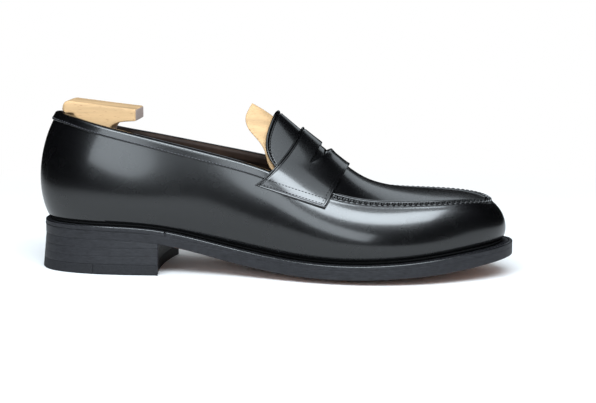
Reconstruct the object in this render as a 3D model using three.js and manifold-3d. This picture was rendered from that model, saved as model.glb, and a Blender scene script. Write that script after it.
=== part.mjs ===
// A left penny loafer with its two-piece wooden shoe tree, in millimetres: +X to the toe, +Y to the
// outer side, +Z up, standing on z = 0. A welted leather sole carries a one-piece upper wall, an apron
// and tongue over the instep and a saddle strap with a coin slot. The tree's heel block sits on a
// sprung telescopic link that folds up from a pin behind the forepart block.
import * as THREE from "three";
import { mergeVertices } from "three/addons/utils/BufferGeometryUtils.js";
import Module from "manifold-3d";

// Driving dimensions.
const GAP = 0.35; // left between pieces that touch
const WELT_THICK = 3.0;
const OUTSOLE_THICK = 5.3;
const TREAD_CROWN = 3.3; // how far the tread's middle lies below its edge
const INSOLE_THICK = 2.8;
const SOCK_THICK = 1.0;
const LEATHER = 1.4; // upper leather
const STRAP_THICK = 1.5;
const BINDING = 0.9;
const BINDING_DEEP = 6.2;
const LASTING_MARGIN = 9;
const BREAST_X = -70.2; // the heel's front corners
const BREAST_HOLLOW = 3.5;
const HEEL_FLARE = 2.2; // how much wider the heel is at the floor
const LIFT_LEVELS = [6.4, 11.5, 16.6]; // heights of the joints in the heel
const RUBBER_END_X = -112; // where the rubber half of the top piece stops
// Depths below the upper's outer face of the layers inside it.
const STIFFENER = { near: LEATHER + GAP, far: 2.9 };
const LINING = { near: 3.25, far: 4.05 };
const TREE_DEPTH = 4.7;

const COLOURS = {
  calf: [0x0b0b0c, 0.22],
  lining: [0x1a1411, 0.6],
  soleEdge: [0x1c1c1e, 0.45],
  tread: [0x8a5a38, 0.6],
  rubber: [0x141414, 0.7],
  board: [0xb88a5c, 0.8],
  cork: [0x7a5634, 0.9],
  beech: [0xdcb98a, 0.5],
  steel: [0x9a9a9c, 0.3, 1],
  brass: [0xb08a3e, 0.35, 1],
};

// Stations round the shoe, from the heel's back along the inner side, round the toe and back along the
// outer side. Each pairs a point of the sole's edge (x, y) with the point above it (x, y, z) of the
// upper's top line, which runs on as the apron seam.
const STATIONS = [
  [-149.2, 0, -140.5, 0, 98.6],
  [-141.5, -20, -133.5, -13, 98.4],
  [-120, -31, -118, -23, 95.0],
  [-78, -33.5, -85, -28.8, 87.4],
  [-40, -33, -48, -30.5, 78.9],
  [0, -41.5, -10, -32.5, 69.6],
  [35, -51, 17, -35.5, 60.4],
  [62, -53.5, 45, -37.5, 52.0],
  [95, -48, 75, -36, 48.8],
  [125, -33.5, 105, -28.5, 49.0],
  [142.5, -19, 126, -17, 48.4],
  [149.6, -2, 133.8, -2.5, 47.0],
  [145, 16.5, 127.5, 13, 48.2],
  [127, 33.5, 107, 26, 49.0],
  [98, 45, 78, 33, 48.9],
  [62, 52, 45, 37, 52.2],
  [30, 52.5, 17, 36.5, 60.3],
  [-5, 46, -10, 34.5, 67.4],
  [-40, 39, -48, 32.5, 74.7],
  [-78, 35.5, -85, 30, 81.8],
  [-120, 31.5, -118, 23, 89.6],
  [-141.5, 20, -133.5, 13, 96.2],
];
const TOE_STATION = 11;

// Heights and shapes along the shoe: x, then the values at it.
const WELT_TOP = [
  [-152, 31.0], [-107, 30.3], [-70, 28.0], [-43, 22.6], [-4, 15.4], [30, 12.3],
  [65, 12.4], [94, 14.4], [120, 17.4], [152, 21.6],
];
const SPINE = [
  [-24, 115], [0, 101.7], [15, 89.6], [30, 77.8], [45, 65.9], [56, 58.7],
  [67, 54.7], [84, 52.1], [105, 50.8], [122, 49.5], [136, 46.4],
];
// How round the instep's crest is: small is a ridge with straight flanks.
const CREST = [[-24, 0.25], [5, 0.25], [30, 0.5], [60, 1.2], [100, 1.6], [136, 1.6]];
// How far the upper's foot stands in from the sole's edge, then the outward and upward reach of the
// two handles that bend the wall, at its foot and at its top.
const WALL = [
  [-152, 3.2, 10.5, 18, 13, 20],
  [-100, 2.8, 8, 16, 6, 22],
  [-40, 5, 9, 13, 3, 24],
  [20, 6, 9, 11, 6, 14],
  [75, 6.5, 7.5, 10, 9, 6],
  [120, 6.5, 6, 9, 8.5, 5],
  [152, 6.3, 4.8, 9, 9.5, 4.5],
];

// ---- curves ----

// A smooth cubic through values at rising knots, repeating when a period is given.
function cubic(knots, values, period = 0) {
  const n = knots.length;
  const at = (list, i) => list[((i % n) + n) % n];
  const knot = (i) => at(knots, i) + Math.floor(i / n) * period;
  const bend = new Array(n).fill(0);
  const first = period ? 0 : 1;
  const last = period ? n : n - 1;
  for (let sweep = 0; sweep < 120; sweep++) {
    for (let i = first; i < last; i++) {
      const before = knot(i) - knot(i - 1);
      const after = knot(i + 1) - knot(i);
      const turn = (at(values, i + 1) - at(values, i)) / after - (at(values, i) - at(values, i - 1)) / before;
      bend[i] = (6 * turn - before * at(bend, i - 1) - after * at(bend, i + 1)) / (2 * (before + after));
    }
  }
  return (t) => {
    if (period) t -= Math.floor((t - knots[0]) / period) * period;
    let i = 0;
    while (i < last - 2 + (period ? 1 : 0) && t > knot(i + 1)) i++;
    const h = knot(i + 1) - knot(i);
    const a = (knot(i + 1) - t) / h;
    const b = 1 - a;
    const arc = ((a ** 3 - a) * at(bend, i) + (b ** 3 - b) * at(bend, i + 1)) * (h * h) / 6;
    return a * at(values, i) + b * at(values, i + 1) + arc;
  };
}

const column = (table, k) => cubic(table.map((row) => row[0]), table.map((row) => row[k]));

const stationKnots = [0];
for (let i = 1; i <= STATIONS.length; i++) {
  const [x0, y0] = STATIONS[i - 1];
  const [x1, y1] = STATIONS[i % STATIONS.length];
  stationKnots.push(stationKnots[i - 1] + Math.hypot(x1 - x0, y1 - y0));
}
const ROUND = stationKnots.pop();
const aroundColumn = (k) => cubic(stationKnots, STATIONS.map((row) => row[k]), ROUND);
const [edgeX, edgeY, topX, topY, topZ] = [0, 1, 2, 3, 4].map(aroundColumn);
const TOE_S = stationKnots[TOE_STATION];

const weltTop = column(WELT_TOP, 1);
const spine = column(SPINE, 1);
const crest = column(CREST, 1);
const [inset, footOut, footUp, topOut, topDown] = [1, 2, 3, 4, 5].map((k) => column(WALL, k));

// Finds t between low and high where f crosses zero.
function solve(f, low, high) {
  const rising = f(high) > f(low);
  for (let i = 0; i < 30; i++) {
    const middle = (low + high) / 2;
    if (f(middle) > 0 === rising) high = middle;
    else low = middle;
  }
  return (low + high) / 2;
}

// The sole edge's outward direction in plan at s.
function outward(s) {
  const step = 0.05;
  const dx = edgeX(s + step) - edgeX(s - step);
  const dy = edgeY(s + step) - edgeY(s - step);
  return new THREE.Vector2(dy, -dx).normalize();
}

// A point of the sole's edge at s, moved inwards by depth.
function edge(s, depth = 0) {
  const n = outward(s);
  return new THREE.Vector2(edgeX(s) - n.x * depth, edgeY(s) - n.y * depth);
}

// Where the edge, moved inwards by depth, crosses x: the inner and outer side's y.
function sides(x, depth) {
  const inner = solve((s) => edge(s, depth).x - x, 0, TOE_S);
  const outer = solve((s) => edge(s, depth).x - x, TOE_S, ROUND);
  return [edge(inner, depth).y, edge(outer, depth).y];
}

// ---- the upper's two outer faces ----

// The wall: s runs round the shoe, v from the foot at the welt (0) to the top line or seam (1).
function wall(s, v) {
  const n = outward(s);
  const x = edgeX(s);
  const foot = edge(s, inset(x));
  const low = new THREE.Vector3(foot.x, foot.y, weltTop(x) + GAP);
  const high = new THREE.Vector3(topX(s), topY(s), topZ(s));
  const curve = new THREE.CubicBezierCurve3(
    low,
    low.clone().add(new THREE.Vector3(n.x * footOut(x), n.y * footOut(x), footUp(x))),
    high.clone().add(new THREE.Vector3(n.x * topOut(x), n.y * topOut(x), -topDown(x))),
    high,
  );
  return curve.getPoint(v);
}

// The top line or seam on the inner (-1) or outer (1) side at x.
function seamAt(x, side) {
  const s = side < 0 ? solve((t) => topX(t) - x, 0, TOE_S) : solve((t) => topX(t) - x, TOE_S, ROUND);
  return new THREE.Vector3(topX(s), topY(s), topZ(s));
}

// The instep: a crowned face over the spine, t from -1 at the inner seam to 1 at the outer one.
function instep(x, t) {
  const inner = seamAt(x, -1);
  const outer = seamAt(x, 1);
  const y = (inner.y + outer.y) / 2 + (t * (outer.y - inner.y)) / 2;
  const level = (inner.z + outer.z) / 2;
  const tilt = (outer.z - inner.z) / 2;
  const c = crest(x);
  const drop = (Math.hypot(t, c) - c) / (Math.hypot(1, c) - c);
  return new THREE.Vector3(x, y, spine(x) - (spine(x) - level) * drop + tilt * t);
}

// A face moved along its own normal: depth is positive inwards.
function sunk(face, a, b, depth) {
  const step = 0.01;
  const across = face(a + step, b).sub(face(a - step, b));
  const up = face(a, b + step).sub(face(a, b - step));
  const normal = across.cross(up).normalize();
  return face(a, b).addScaledVector(normal, -depth);
}
const wallAt = (s, v, depth) => sunk(wall, s, v, depth);
const instepAt = (x, t, depth) => sunk(instep, x, t, depth);

// ---- solids ----

// n + 1 numbers from low to high; bunched ones lie closer at both ends.
const spread = (low, high, n) => Array.from({ length: n + 1 }, (_, i) => low + ((high - low) * i) / n);
const bunched = (low, high, n) => (
  spread(0, Math.PI, n).map((a) => low + ((high - low) * (1 - Math.cos(a))) / 2)
);
const grid = (rows, columns, point) => rows.map((a) => columns.map((b) => point(a, b)));

// A closed body between two matching grids of points; ring joins the last row to the first.
function between(over, under, ring = false) {
  const rows = over.length;
  const columns = over[0].length;
  const positions = [...over.flat(), ...under.flat()].flatMap((p) => [p.x, p.y, p.z]);
  const at = (layer, i, j) => layer * rows * columns + (i % rows) * columns + j;
  const index = [];
  const quad = (a, b, c, d) => index.push(a, b, c, a, c, d);
  const steps = ring ? rows : rows - 1;
  for (let i = 0; i < steps; i++) {
    for (let j = 0; j < columns - 1; j++) {
      quad(at(0, i, j), at(0, i + 1, j), at(0, i + 1, j + 1), at(0, i, j + 1));
      quad(at(1, i, j), at(1, i, j + 1), at(1, i + 1, j + 1), at(1, i + 1, j));
    }
    const e = columns - 1;
    quad(at(0, i, 0), at(1, i, 0), at(1, i + 1, 0), at(0, i + 1, 0));
    quad(at(0, i, e), at(0, i + 1, e), at(1, i + 1, e), at(1, i, e));
  }
  if (!ring) {
    const e = rows - 1;
    for (let j = 0; j < columns - 1; j++) {
      quad(at(0, 0, j), at(0, 0, j + 1), at(1, 0, j + 1), at(1, 0, j));
      quad(at(0, e, j), at(1, e, j), at(1, e, j + 1), at(0, e, j + 1));
    }
  }
  const body = new THREE.BufferGeometry();
  body.setAttribute("position", new THREE.Float32BufferAttribute(positions, 3));
  body.setIndex(index);
  return facingOut(body);
}

// A closed body through rings of equally many points, each end closed from its own middle.
function loft(rings) {
  const middle = (ring) => ring.reduce((sum, p) => sum.add(p), new THREE.Vector3()).divideScalar(ring.length);
  const count = rings[0].length;
  const points = [...rings.flat(), middle(rings[0]), middle(rings.at(-1))];
  const last = (rings.length - 1) * count;
  const index = [];
  for (let j = 0; j < count; j++) {
    const k = (j + 1) % count;
    for (let i = 0; i < last; i += count) {
      index.push(i + j, i + count + j, i + count + k);
      index.push(i + j, i + count + k, i + k);
    }
    index.push(points.length - 2, j, k, points.length - 1, last + k, last + j);
  }
  const body = new THREE.BufferGeometry();
  body.setAttribute("position", new THREE.Float32BufferAttribute(points.flatMap((p) => [p.x, p.y, p.z]), 3));
  body.setIndex(index);
  return facingOut(body);
}

// Turns a body's faces round if they point inwards.
function facingOut(body) {
  const p = body.attributes.position;
  const corner = (i) => new THREE.Vector3().fromBufferAttribute(p, body.index.getX(i));
  let volume = 0;
  for (let i = 0; i < body.index.count; i += 3) {
    volume += corner(i).dot(corner(i + 1).cross(corner(i + 2)));
  }
  if (volume < 0) body.setIndex([...body.index.array].reverse());
  return body;
}

const wasm = await Module();
wasm.setup();

function toSolid(geometry) {
  const bare = new THREE.BufferGeometry().setAttribute("position", geometry.attributes.position);
  if (geometry.index) bare.setIndex(geometry.index);
  const merged = mergeVertices(bare, 1e-4);
  return new wasm.Manifold(new wasm.Mesh({
    numProp: 3,
    vertProperties: new Float32Array(merged.attributes.position.array),
    triVerts: new Uint32Array(merged.index.array),
  }));
}

function toGeometry(solid) {
  const mesh = solid.getMesh();
  return new THREE.BufferGeometry()
    .setAttribute("position", new THREE.BufferAttribute(mesh.vertProperties, 3))
    .setIndex(new THREE.BufferAttribute(mesh.triVerts, 1));
}

const cut = (geometry, ...tools) => toGeometry(
  tools.reduce((left, tool) => left.subtract(toSolid(tool)), toSolid(geometry)),
);
const common = (a, b) => toGeometry(toSolid(a).intersect(toSolid(b)));
const joined = (a, b) => toGeometry(toSolid(a).add(toSolid(b)));

const box = (low, high) => new THREE.BoxGeometry(high[0] - low[0], high[1] - low[1], high[2] - low[2])
  .translate((low[0] + high[0]) / 2, (low[1] + high[1]) / 2, (low[2] + high[2]) / 2);
const rodX = (radius, x0, x1, y, z, sides = 20) => new THREE.CylinderGeometry(radius, radius, x1 - x0, sides)
  .rotateZ(-Math.PI / 2).translate((x0 + x1) / 2, y, z);
const rodY = (radius, half, x, z, y = 0) => new THREE.CylinderGeometry(radius, radius, 2 * half, 20)
  .translate(x, y, z);
const rodZ = (radius, x, y, z0, z1, sides = 10) => new THREE.CylinderGeometry(radius, radius, z1 - z0, sides)
  .rotateX(Math.PI / 2).translate(x, y, (z0 + z1) / 2);

// A shape drawn in the x-z plane and carried across y.
const sideExtrusion = (points, half) => new THREE.ExtrudeGeometry(
  new THREE.Shape(points.map(([x, z]) => new THREE.Vector2(x, z))),
  { depth: 2 * half, bevelEnabled: false },
).rotateX(Math.PI / 2).translate(0, half, 0);
// A shape drawn in plan and carried from z0 to z1.
const planExtrusion = (points, z0, z1) => new THREE.ExtrudeGeometry(
  new THREE.Shape(points.map(([x, y]) => new THREE.Vector2(x, y))),
  { depth: z1 - z0, bevelEnabled: false },
).translate(0, 0, z0);

const shoe = new THREE.Group();

function add(name, geometry, [colour, roughness, metalness = 0], place = [0, 0, 0]) {
  const material = new THREE.MeshStandardMaterial({ color: colour, roughness, metalness });
  const mesh = new THREE.Mesh(geometry, material);
  mesh.name = name;
  mesh.position.set(...place);
  shoe.add(mesh);
}

// ---- the sole ----

// A flat-lying layer inside the sole's outline: x from back to front, straight or with a hollow front.
function layer({ back, front, depthTop, depthUnder, over, under, steps = 36, across = 4, hollow = 0 }) {
  const face = (depth, height) => grid(bunched(0, 1, steps), spread(-1, 1, across), (u, w) => {
    const ahead = front(depth) - hollow * (1 - w * w);
    const x = back(depth) + (ahead - back(depth)) * u;
    const [inner, outer] = sides(x, depth);
    const y = (inner + outer) / 2 + (w * (outer - inner)) / 2;
    return new THREE.Vector3(x, y, height(x, w));
  });
  return between(face(depthTop, over), face(depthUnder, under));
}
const END_TRIM = 0.12; // flattens the very ends, where the outline closes
const heelBack = (depth) => edge(0, depth).x + END_TRIM;
const toeTip = (depth) => {
  const near = spread(TOE_S - 30, TOE_S + 30, 240);
  return Math.max(...near.map((s) => edge(s, depth).x)) - END_TRIM;
};

const outsoleTop = (x) => weltTop(x) - WELT_THICK - GAP;
const outsoleUnder = (x) => outsoleTop(x) - OUTSOLE_THICK;
const footbed = (x) => weltTop(x) + GAP + LEATHER + GAP; // the insole's underside
const insoleTop = (x) => footbed(x) + INSOLE_THICK;
// The crown fades out over the heel, where the tread is flat, and towards the toe.
const { smoothstep } = THREE.MathUtils;
const crown = (x, w) => (
  TREAD_CROWN * (1 - w * w) * smoothstep(x, BREAST_X, -12) * (1 - smoothstep(x, 85, 150))
);
add("outsole", layer({
  back: heelBack, front: toeTip, depthTop: 0, depthUnder: 0.3, steps: 44, across: 6,
  over: (x) => outsoleTop(x), under: (x, w) => outsoleUnder(x) - crown(x, w),
}), COLOURS.tread);

// A strip laid along the sole's edge between two places on it.
function edgeStrip(from, to, steps, width) {
  const face = (height) => grid(spread(from, to, steps), [0, 1], (s, k) => {
    const p = edge(s, k * width);
    return new THREE.Vector3(p.x, p.y, height(p.x));
  });
  return between(face((x) => weltTop(x)), face((x) => weltTop(x) - WELT_THICK));
}
const WELT_END_X = -66;
const EDGE_STRIP = 8; // width of the welt and the rand
const weltFrom = solve((s) => edgeX(s) - WELT_END_X, 0, TOE_S);
const weltTo = solve((s) => edgeX(s) - WELT_END_X, TOE_S, ROUND);
add("welt", edgeStrip(weltFrom, weltTo, 64, EDGE_STRIP), COLOURS.soleEdge);
const RAND_CLEAR = 1; // between the welt's ends and the rand's
add(
  "heel_rand",
  edgeStrip(weltTo + RAND_CLEAR, ROUND + weltFrom - RAND_CLEAR, 26, EDGE_STRIP),
  COLOURS.soleEdge,
);

// The heel: lifts under the seat, then a top piece in two halves, rubber behind and leather ahead.
const HEEL_TOP_INSET = 0.2; // of the heel's side from the sole's edge, at the height of its top
const HEEL_TALL = 22;
const flareAt = (z) => HEEL_TOP_INSET - HEEL_FLARE * (1 - z / HEEL_TALL);
const NAILS = [[-140, 0], [-133, -17], [-133, 17], [-119, -23.5], [-119, 23.5]];
const NAIL_RADIUS = 0.9;
function lift(z0, over, back = heelBack, front = () => BREAST_X, hollow = BREAST_HOLLOW) {
  return layer({
    back, front, hollow, depthTop: flareAt(z0 + 5), depthUnder: flareAt(z0), steps: 16, across: 6,
    over, under: () => z0,
  });
}
const nailHoles = (z0, z1) => NAILS.map(([x, y]) => rodZ(NAIL_RADIUS + 0.3, x, y, z0, z1));
const [piece, second, first] = LIFT_LEVELS;
add("heel_lift_1", lift(first + GAP, (x) => outsoleUnder(x) - GAP), COLOURS.soleEdge);
add("heel_lift_2", lift(second + GAP, () => first), COLOURS.soleEdge);
add("heel_lift_3", cut(lift(piece + GAP, () => second), ...nailHoles(piece - 1, 9.6)), COLOURS.soleEdge);
add("top_piece_rubber", cut(
  lift(0, () => piece, heelBack, () => RUBBER_END_X, 0), ...nailHoles(1.2, piece + 1),
), COLOURS.rubber);
add("top_piece_leather", lift(0, () => piece, () => RUBBER_END_X + GAP), COLOURS.soleEdge);
const NAIL_FOOT = 1.6;
const NAIL_HEAD = 9.2;
NAILS.forEach(([x, y], i) => {
  add(`heel_nail_${i + 1}`, rodZ(NAIL_RADIUS, 0, 0, NAIL_FOOT, NAIL_HEAD), COLOURS.brass, [x, y, 0]);
});

// Inside the bottom: insole, cork and shank between it and the outsole, and a thin sock under the heel.
const INSOLE_DEPTH = 10.7;
add("insole", layer({
  back: heelBack, front: toeTip, depthTop: INSOLE_DEPTH,
  depthUnder: INSOLE_DEPTH, steps: 28, across: 2, over: insoleTop, under: footbed,
}), COLOURS.board);
const CORK_BACK_X = -8;
const CORK_DEPTH = 17.5;
add("cork_filler", layer({
  back: () => CORK_BACK_X, front: toeTip, depthTop: CORK_DEPTH, depthUnder: CORK_DEPTH,
  steps: 18, across: 2, over: (x) => footbed(x) - GAP, under: (x) => outsoleTop(x) + GAP,
}), COLOURS.cork);
const SHANK_HALF = 8;
const shankFace = (rise) => grid(spread(-100, CORK_BACK_X - 2, 14), [-SHANK_HALF, SHANK_HALF], (x, y) => (
  new THREE.Vector3(x, y + 1, outsoleTop(x) + rise)));
add("shank", between(shankFace(2.6), shankFace(GAP)), COLOURS.steel);
add("heel_sock", layer({
  back: heelBack, front: () => -62, hollow: -6, depthTop: 14, depthUnder: 14, steps: 12, across: 4,
  over: (x) => insoleTop(x) + GAP + SOCK_THICK, under: (x) => insoleTop(x) + GAP,
}), COLOURS.lining);

// ---- the upper ----

// The wall's own leather, with the margin that is lasted under the insole.
const WALL_STEPS = 88;
const TIGHTEN = 0.45;
// The i-th place round the shoe: they lie closer together round the heel and the toe.
const TWO_TURNS = 4 * Math.PI;
const place = (i) => (
  ROUND * (i / WALL_STEPS - (TIGHTEN * Math.sin((TWO_TURNS * i) / WALL_STEPS)) / TWO_TURNS)
);
const places = (i0, i1) => Array.from({ length: i1 - i0 + 1 }, (_, k) => place(i0 + k));
const placeOf = (s) => Math.round(solve((i) => place(i) - s, -WALL_STEPS, 2 * WALL_STEPS));
const wallSteps = places(0, WALL_STEPS - 1);
const wallHeights = [0, 0.08, 0.18, 0.32, 0.48, 0.64, 0.8, 0.92, 1];
function wallSection(s, depth, rise) {
  const x = edgeX(s);
  const under = edge(s, inset(x) + LASTING_MARGIN);
  const margin = new THREE.Vector3(under.x, under.y, weltTop(under.x) + GAP + rise);
  return [margin, ...wallHeights.map((v) => wallAt(s, v, depth))];
}
const wallFace = (depth, rise) => wallSteps.map((s) => wallSection(s, depth, rise));
add("upper_wall", between(wallFace(0, 0), wallFace(LEATHER, LEATHER), true), COLOURS.calf);

// A layer inside the wall, from s0 to s1 round the shoe and v0 to its own top.
function wallLayer(s0, s1, v0, top, rows, { near, far }) {
  const round = places(placeOf(s0), placeOf(s1));
  const face = (depth) => round.map((s) => spread(v0, top(s), rows).map((v) => wallAt(s, v, depth)));
  return between(face(near), face(far));
}
const COUNTER_REACH = 72;
const counterTop = (s) => 0.8 - 0.55 * (Math.abs(s) / COUNTER_REACH) ** 3;
add("heel_counter", wallLayer(-COUNTER_REACH, COUNTER_REACH, 0.06, counterTop, 6, STIFFENER), COLOURS.board);
const PUFF_REACH = 52;
const puffTop = (s) => 0.8 - 0.2 * (Math.abs(s - TOE_S) / PUFF_REACH) ** 2;
add(
  "toe_puff",
  wallLayer(TOE_S - PUFF_REACH, TOE_S + PUFF_REACH, 0.08, puffTop, 5, STIFFENER),
  COLOURS.board,
);
const quarterEnd = solve((s) => topX(s) + 2, 0, TOE_S);
const quarterEndOuter = solve((s) => topX(s) + 2, TOE_S, ROUND) - ROUND;
const quarterTop = () => 0.96;
add("quarter_lining", wallLayer(quarterEndOuter, quarterEnd, 0.12, quarterTop, 6, LINING), COLOURS.lining);
const vampStart = place(placeOf(quarterEnd) + 1);
const vampEnd = place(placeOf(quarterEndOuter + ROUND) - 1);
add("vamp_lining", wallLayer(vampStart, vampEnd, 0.12, () => 0.86, 5, LINING), COLOURS.lining);

// The binding folds over the top line from one end of the strap round the heel to the other.
const bindingEnd = solve((s) => topX(s) + 6, 0, TOE_S);
const bindingEndOuter = solve((s) => topX(s) + 6, TOE_S, ROUND) - ROUND;
function bindingSection(s, grow) {
  const top = wall(s, 1);
  const down = wall(s, 0.9).sub(top).normalize();
  const out = wallAt(s, 1, -1).sub(top);
  const spot = (along, depth) => top.clone().addScaledVector(down, along).addScaledVector(out, -depth);
  const innerDepth = LINING.far + GAP + grow;
  const outerDepth = -GAP - grow;
  const lip = -GAP - grow;
  return [spot(BINDING_DEEP, outerDepth), spot(lip + 0.6, outerDepth), spot(lip, outerDepth + 0.7),
    spot(lip, innerDepth - 0.7), spot(lip + 0.6, innerDepth), spot(BINDING_DEEP, innerDepth)];
}
const bindingPlaces = places(placeOf(bindingEndOuter), placeOf(bindingEnd));
const bindingFace = (grow) => bindingPlaces.map((s) => bindingSection(s, grow));
add("collar_binding", between(bindingFace(BINDING), bindingFace(0)), COLOURS.calf);

// Over the instep: the apron ahead of the strap, the tongue behind it, each with its lining.
function instepLayer(x0, x1, steps, edgeOf, columns, near, far) {
  const face = (depth) => grid(bunched(x0, x1, steps), spread(-1, 1, columns), (x, w) => (
    instepAt(x, w * edgeOf(x), depth)));
  return between(face(near), face(far));
}
const APRON_BACK_X = 32;
const APRON_FRONT_X = 130.5;
const halfWidth = (x) => (seamAt(x, 1).y - seamAt(x, -1).y) / 2;
const apronEdge = (gap) => (x) => 1 - gap / halfWidth(x);
add("apron", instepLayer(APRON_BACK_X, APRON_FRONT_X, 22, apronEdge(1.3), 8, 0, LEATHER), COLOURS.calf);
add(
  "apron_lining",
  instepLayer(APRON_BACK_X + 2, 122, 16, apronEdge(6.5), 6, LEATHER + GAP, 2.5),
  COLOURS.lining,
);

// The tongue's free edge sweeps back from its peak to the widest point, then forward to the strap.
const TONGUE_PEAK_X = 1;
const TONGUE_FRONT_X = APRON_BACK_X - GAP;
const TONGUE_HALF = 0.9; // as a share of the way to the top line
const tongueBack = (w) => TONGUE_PEAK_X - 9.5 * Math.abs(w) ** 1.2 + 11.5 * Math.abs(w) ** 6;
function tongueLayer(near, far, shrink) {
  const face = (depth) => grid(spread(0, 1, 10), spread(-1, 1, 14), (u, w) => {
    const back = tongueBack(w) + shrink;
    return instepAt(back + (TONGUE_FRONT_X - back) * u, w * (TONGUE_HALF - 0.01 * shrink), depth);
  });
  return between(face(near), face(far));
}
add("tongue", tongueLayer(0, LEATHER, 0), COLOURS.calf);
add("tongue_lining", tongueLayer(LEATHER + GAP, 2.5, 1.2), COLOURS.lining);

// The strap: each line across it runs from one wing's foot over the spine to the other's, through
// points on the faces under it. Its edges lean back as they come down.
const STRAP = {
  rearTop: 15.5, frontTop: 45.5, rearFoot: -8.6, frontFoot: 35.3, rearFootZ: 58.6, frontFootZ: 46.6,
};
const STRAP_SHARE = 0.6; // how much of its lean the strap takes above the seam
const STRAP_CLEAR = 0.55;
function wallPoint(x, z, side, depth) {
  const place = (v) => {
    const [from, to] = side < 0 ? [0, TOE_S] : [TOE_S, ROUND];
    const s = solve((t) => wall(t, v).x - x, from, to);
    return wallAt(s, v, depth);
  };
  return place(solve((v) => place(v).z - z, 0.4, 1));
}
function strapLine(k) {
  const top = THREE.MathUtils.lerp(STRAP.rearTop, STRAP.frontTop, k);
  const foot = THREE.MathUtils.lerp(STRAP.rearFoot, STRAP.frontFoot, k);
  const footZ = THREE.MathUtils.lerp(STRAP.rearFootZ, STRAP.frontFootZ, k);
  const at = (share) => top + (foot - top) * share;
  const over = [-0.97, -0.7, -0.35, 0, 0.35, 0.7, 0.97].map((t) => (
    instepAt(at(STRAP_SHARE * t * t), t, -STRAP_CLEAR - STRAP_THICK / 2)));
  const wing = (side, share) => {
    const seam = seamAt(at(STRAP_SHARE), side).z;
    const x = at(STRAP_SHARE + (1 - STRAP_SHARE) * share);
    return wallPoint(x, seam + (footZ - seam) * share, side, -STRAP_CLEAR - STRAP_THICK / 2);
  };
  const points = [wing(-1, 1), wing(-1, 0.5), ...over, wing(1, 0.5), wing(1, 1)];
  const knots = [0];
  for (let i = 1; i < points.length; i++) knots.push(knots[i - 1] + points[i].distanceTo(points[i - 1]));
  const [x, y, z] = ["x", "y", "z"].map((axis) => cubic(knots, points.map((p) => p[axis])));
  return (q) => new THREE.Vector3(x(q * knots.at(-1)), y(q * knots.at(-1)), z(q * knots.at(-1)));
}
const strapRows = spread(-0.02, 1.02, 8).map((k) => ({ k, line: strapLine(k) }));
function strapFace(depth) {
  const across = spread(0, 1, 34);
  const points = strapRows.map(({ line }) => across.map(line));
  return points.slice(1, -1).map((row, i) => row.map((p, j) => {
    const along = points[i + 2][j].clone().sub(points[i][j]);
    const side = row[Math.min(j + 1, row.length - 1)].clone().sub(row[Math.max(j - 1, 0)]);
    return p.clone().addScaledVector(along.cross(side).normalize(), depth);
  }));
}
const SLOT = { x: 29.2, half: 20, wide: 2.7, sweep: 0.0085 };
const slotY = spread(-SLOT.half, SLOT.half, 16);
const slotEdge = (y, side) => [
  SLOT.x - SLOT.sweep * y * y + side * SLOT.wide * (1 - (y / SLOT.half) ** 2), y,
];
const slotOutline = [
  ...slotY.map((y) => slotEdge(y, 1)),
  ...slotY.slice(1, -1).reverse().map((y) => slotEdge(y, -1)),
];
add("saddle_strap", cut(
  between(strapFace(STRAP_THICK / 2), strapFace(-STRAP_THICK / 2)),
  planExtrusion(slotOutline, 55, 110),
), COLOURS.calf);

// ---- the shoe tree ----

// The link's pin and axis, the tube and rod along it, and how they telescope.
const LINK = { pinX: -2, z: 54, tubeFront: -14, tubeBack: -62, plateX: -93.6, blockFront: -96 };
const PIN_RADIUS = 2;
const TUBE = { outer: 6, bore: 4.4, wallEnd: -18 };
const ROD = { radius: 3, headRadius: 4.0, headFront: -42, headBack: -46, back: -112 };
const LUG_HALF = 3;
const EAR_THICK = 2;
const PLATE_THICK = 2;
const SCREW = { head: 2.6, headLong: 1.2, shank: 1.4, long: 12 };
const onLink = (radius, x0, x1) => rodX(radius, x0, x1, 0, LINK.z);

// The forepart fills the shoe from under the tongue to the toe.
const treeXs = [-24, -16, -8, 0, 10, 22, 36, 52, 68, 84, 98, 110, 119, 124];
function forepartRing(x) {
  const floor = insoleTop(x) + 1.2;
  const flank = (side, share) => {
    const seam = seamAt(Math.max(x, -24), side).z;
    return wallPoint(x, floor + (seam - floor) * share, side, TREE_DEPTH);
  };
  const crestLine = [-0.86, -0.6, -0.3, 0, 0.3, 0.6, 0.86].map((t) => instepAt(x, t, TREE_DEPTH));
  const shares = [0.02, 0.3, 0.62];
  return [
    ...shares.map((share) => flank(-1, share)),
    ...crestLine,
    ...shares.toReversed().map((share) => flank(1, share)),
  ];
}
const noseSide = new THREE.SplineCurve([
  [-14.5, 110], [-16, 104], [-18.5, 97.5], [-16.5, 91], [-10.5, 84.5], [-5, 77.5], [-2.5, 71],
  [1, 66], [10, 63.6],
].map(([x, z]) => new THREE.Vector2(x, z))).getPoints(20).map((p) => [p.x, p.y]);
const NOSE_REAR_X = 10;
const noseCut = sideExtrusion([...noseSide, [NOSE_REAR_X, 10], [-60, 10], [-60, 110]], 60);
const NOSE = { tip: -19.5, full: 5, half: 31 };
const noseHalf = (x) => NOSE.half * Math.sqrt(1 - Math.min(1, (NOSE.full - x) / (NOSE.full - NOSE.tip)) ** 2);
const noseXs = bunched(NOSE.tip, NOSE.full, 12);
const nosePlan = [
  ...noseXs.slice(1).map((x) => [x, -noseHalf(x)]), [40, -60], [140, -60], [140, 60], [40, 60],
  ...noseXs.slice(1).reverse().map((x) => [x, noseHalf(x)]),
];
const bracketScrews = [[-8.8, LINK.z], [8.8, LINK.z]];
const heelScrews = [[0, LINK.z - 8], [0, LINK.z + 8]];
const screwHole = (x0, x1, [y, z]) => rodX(SCREW.shank + GAP, x0, x1, y, z, 12);
const forepartWhole = common(loft(treeXs.map(forepartRing)), planExtrusion(nosePlan, 0, 140));
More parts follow.
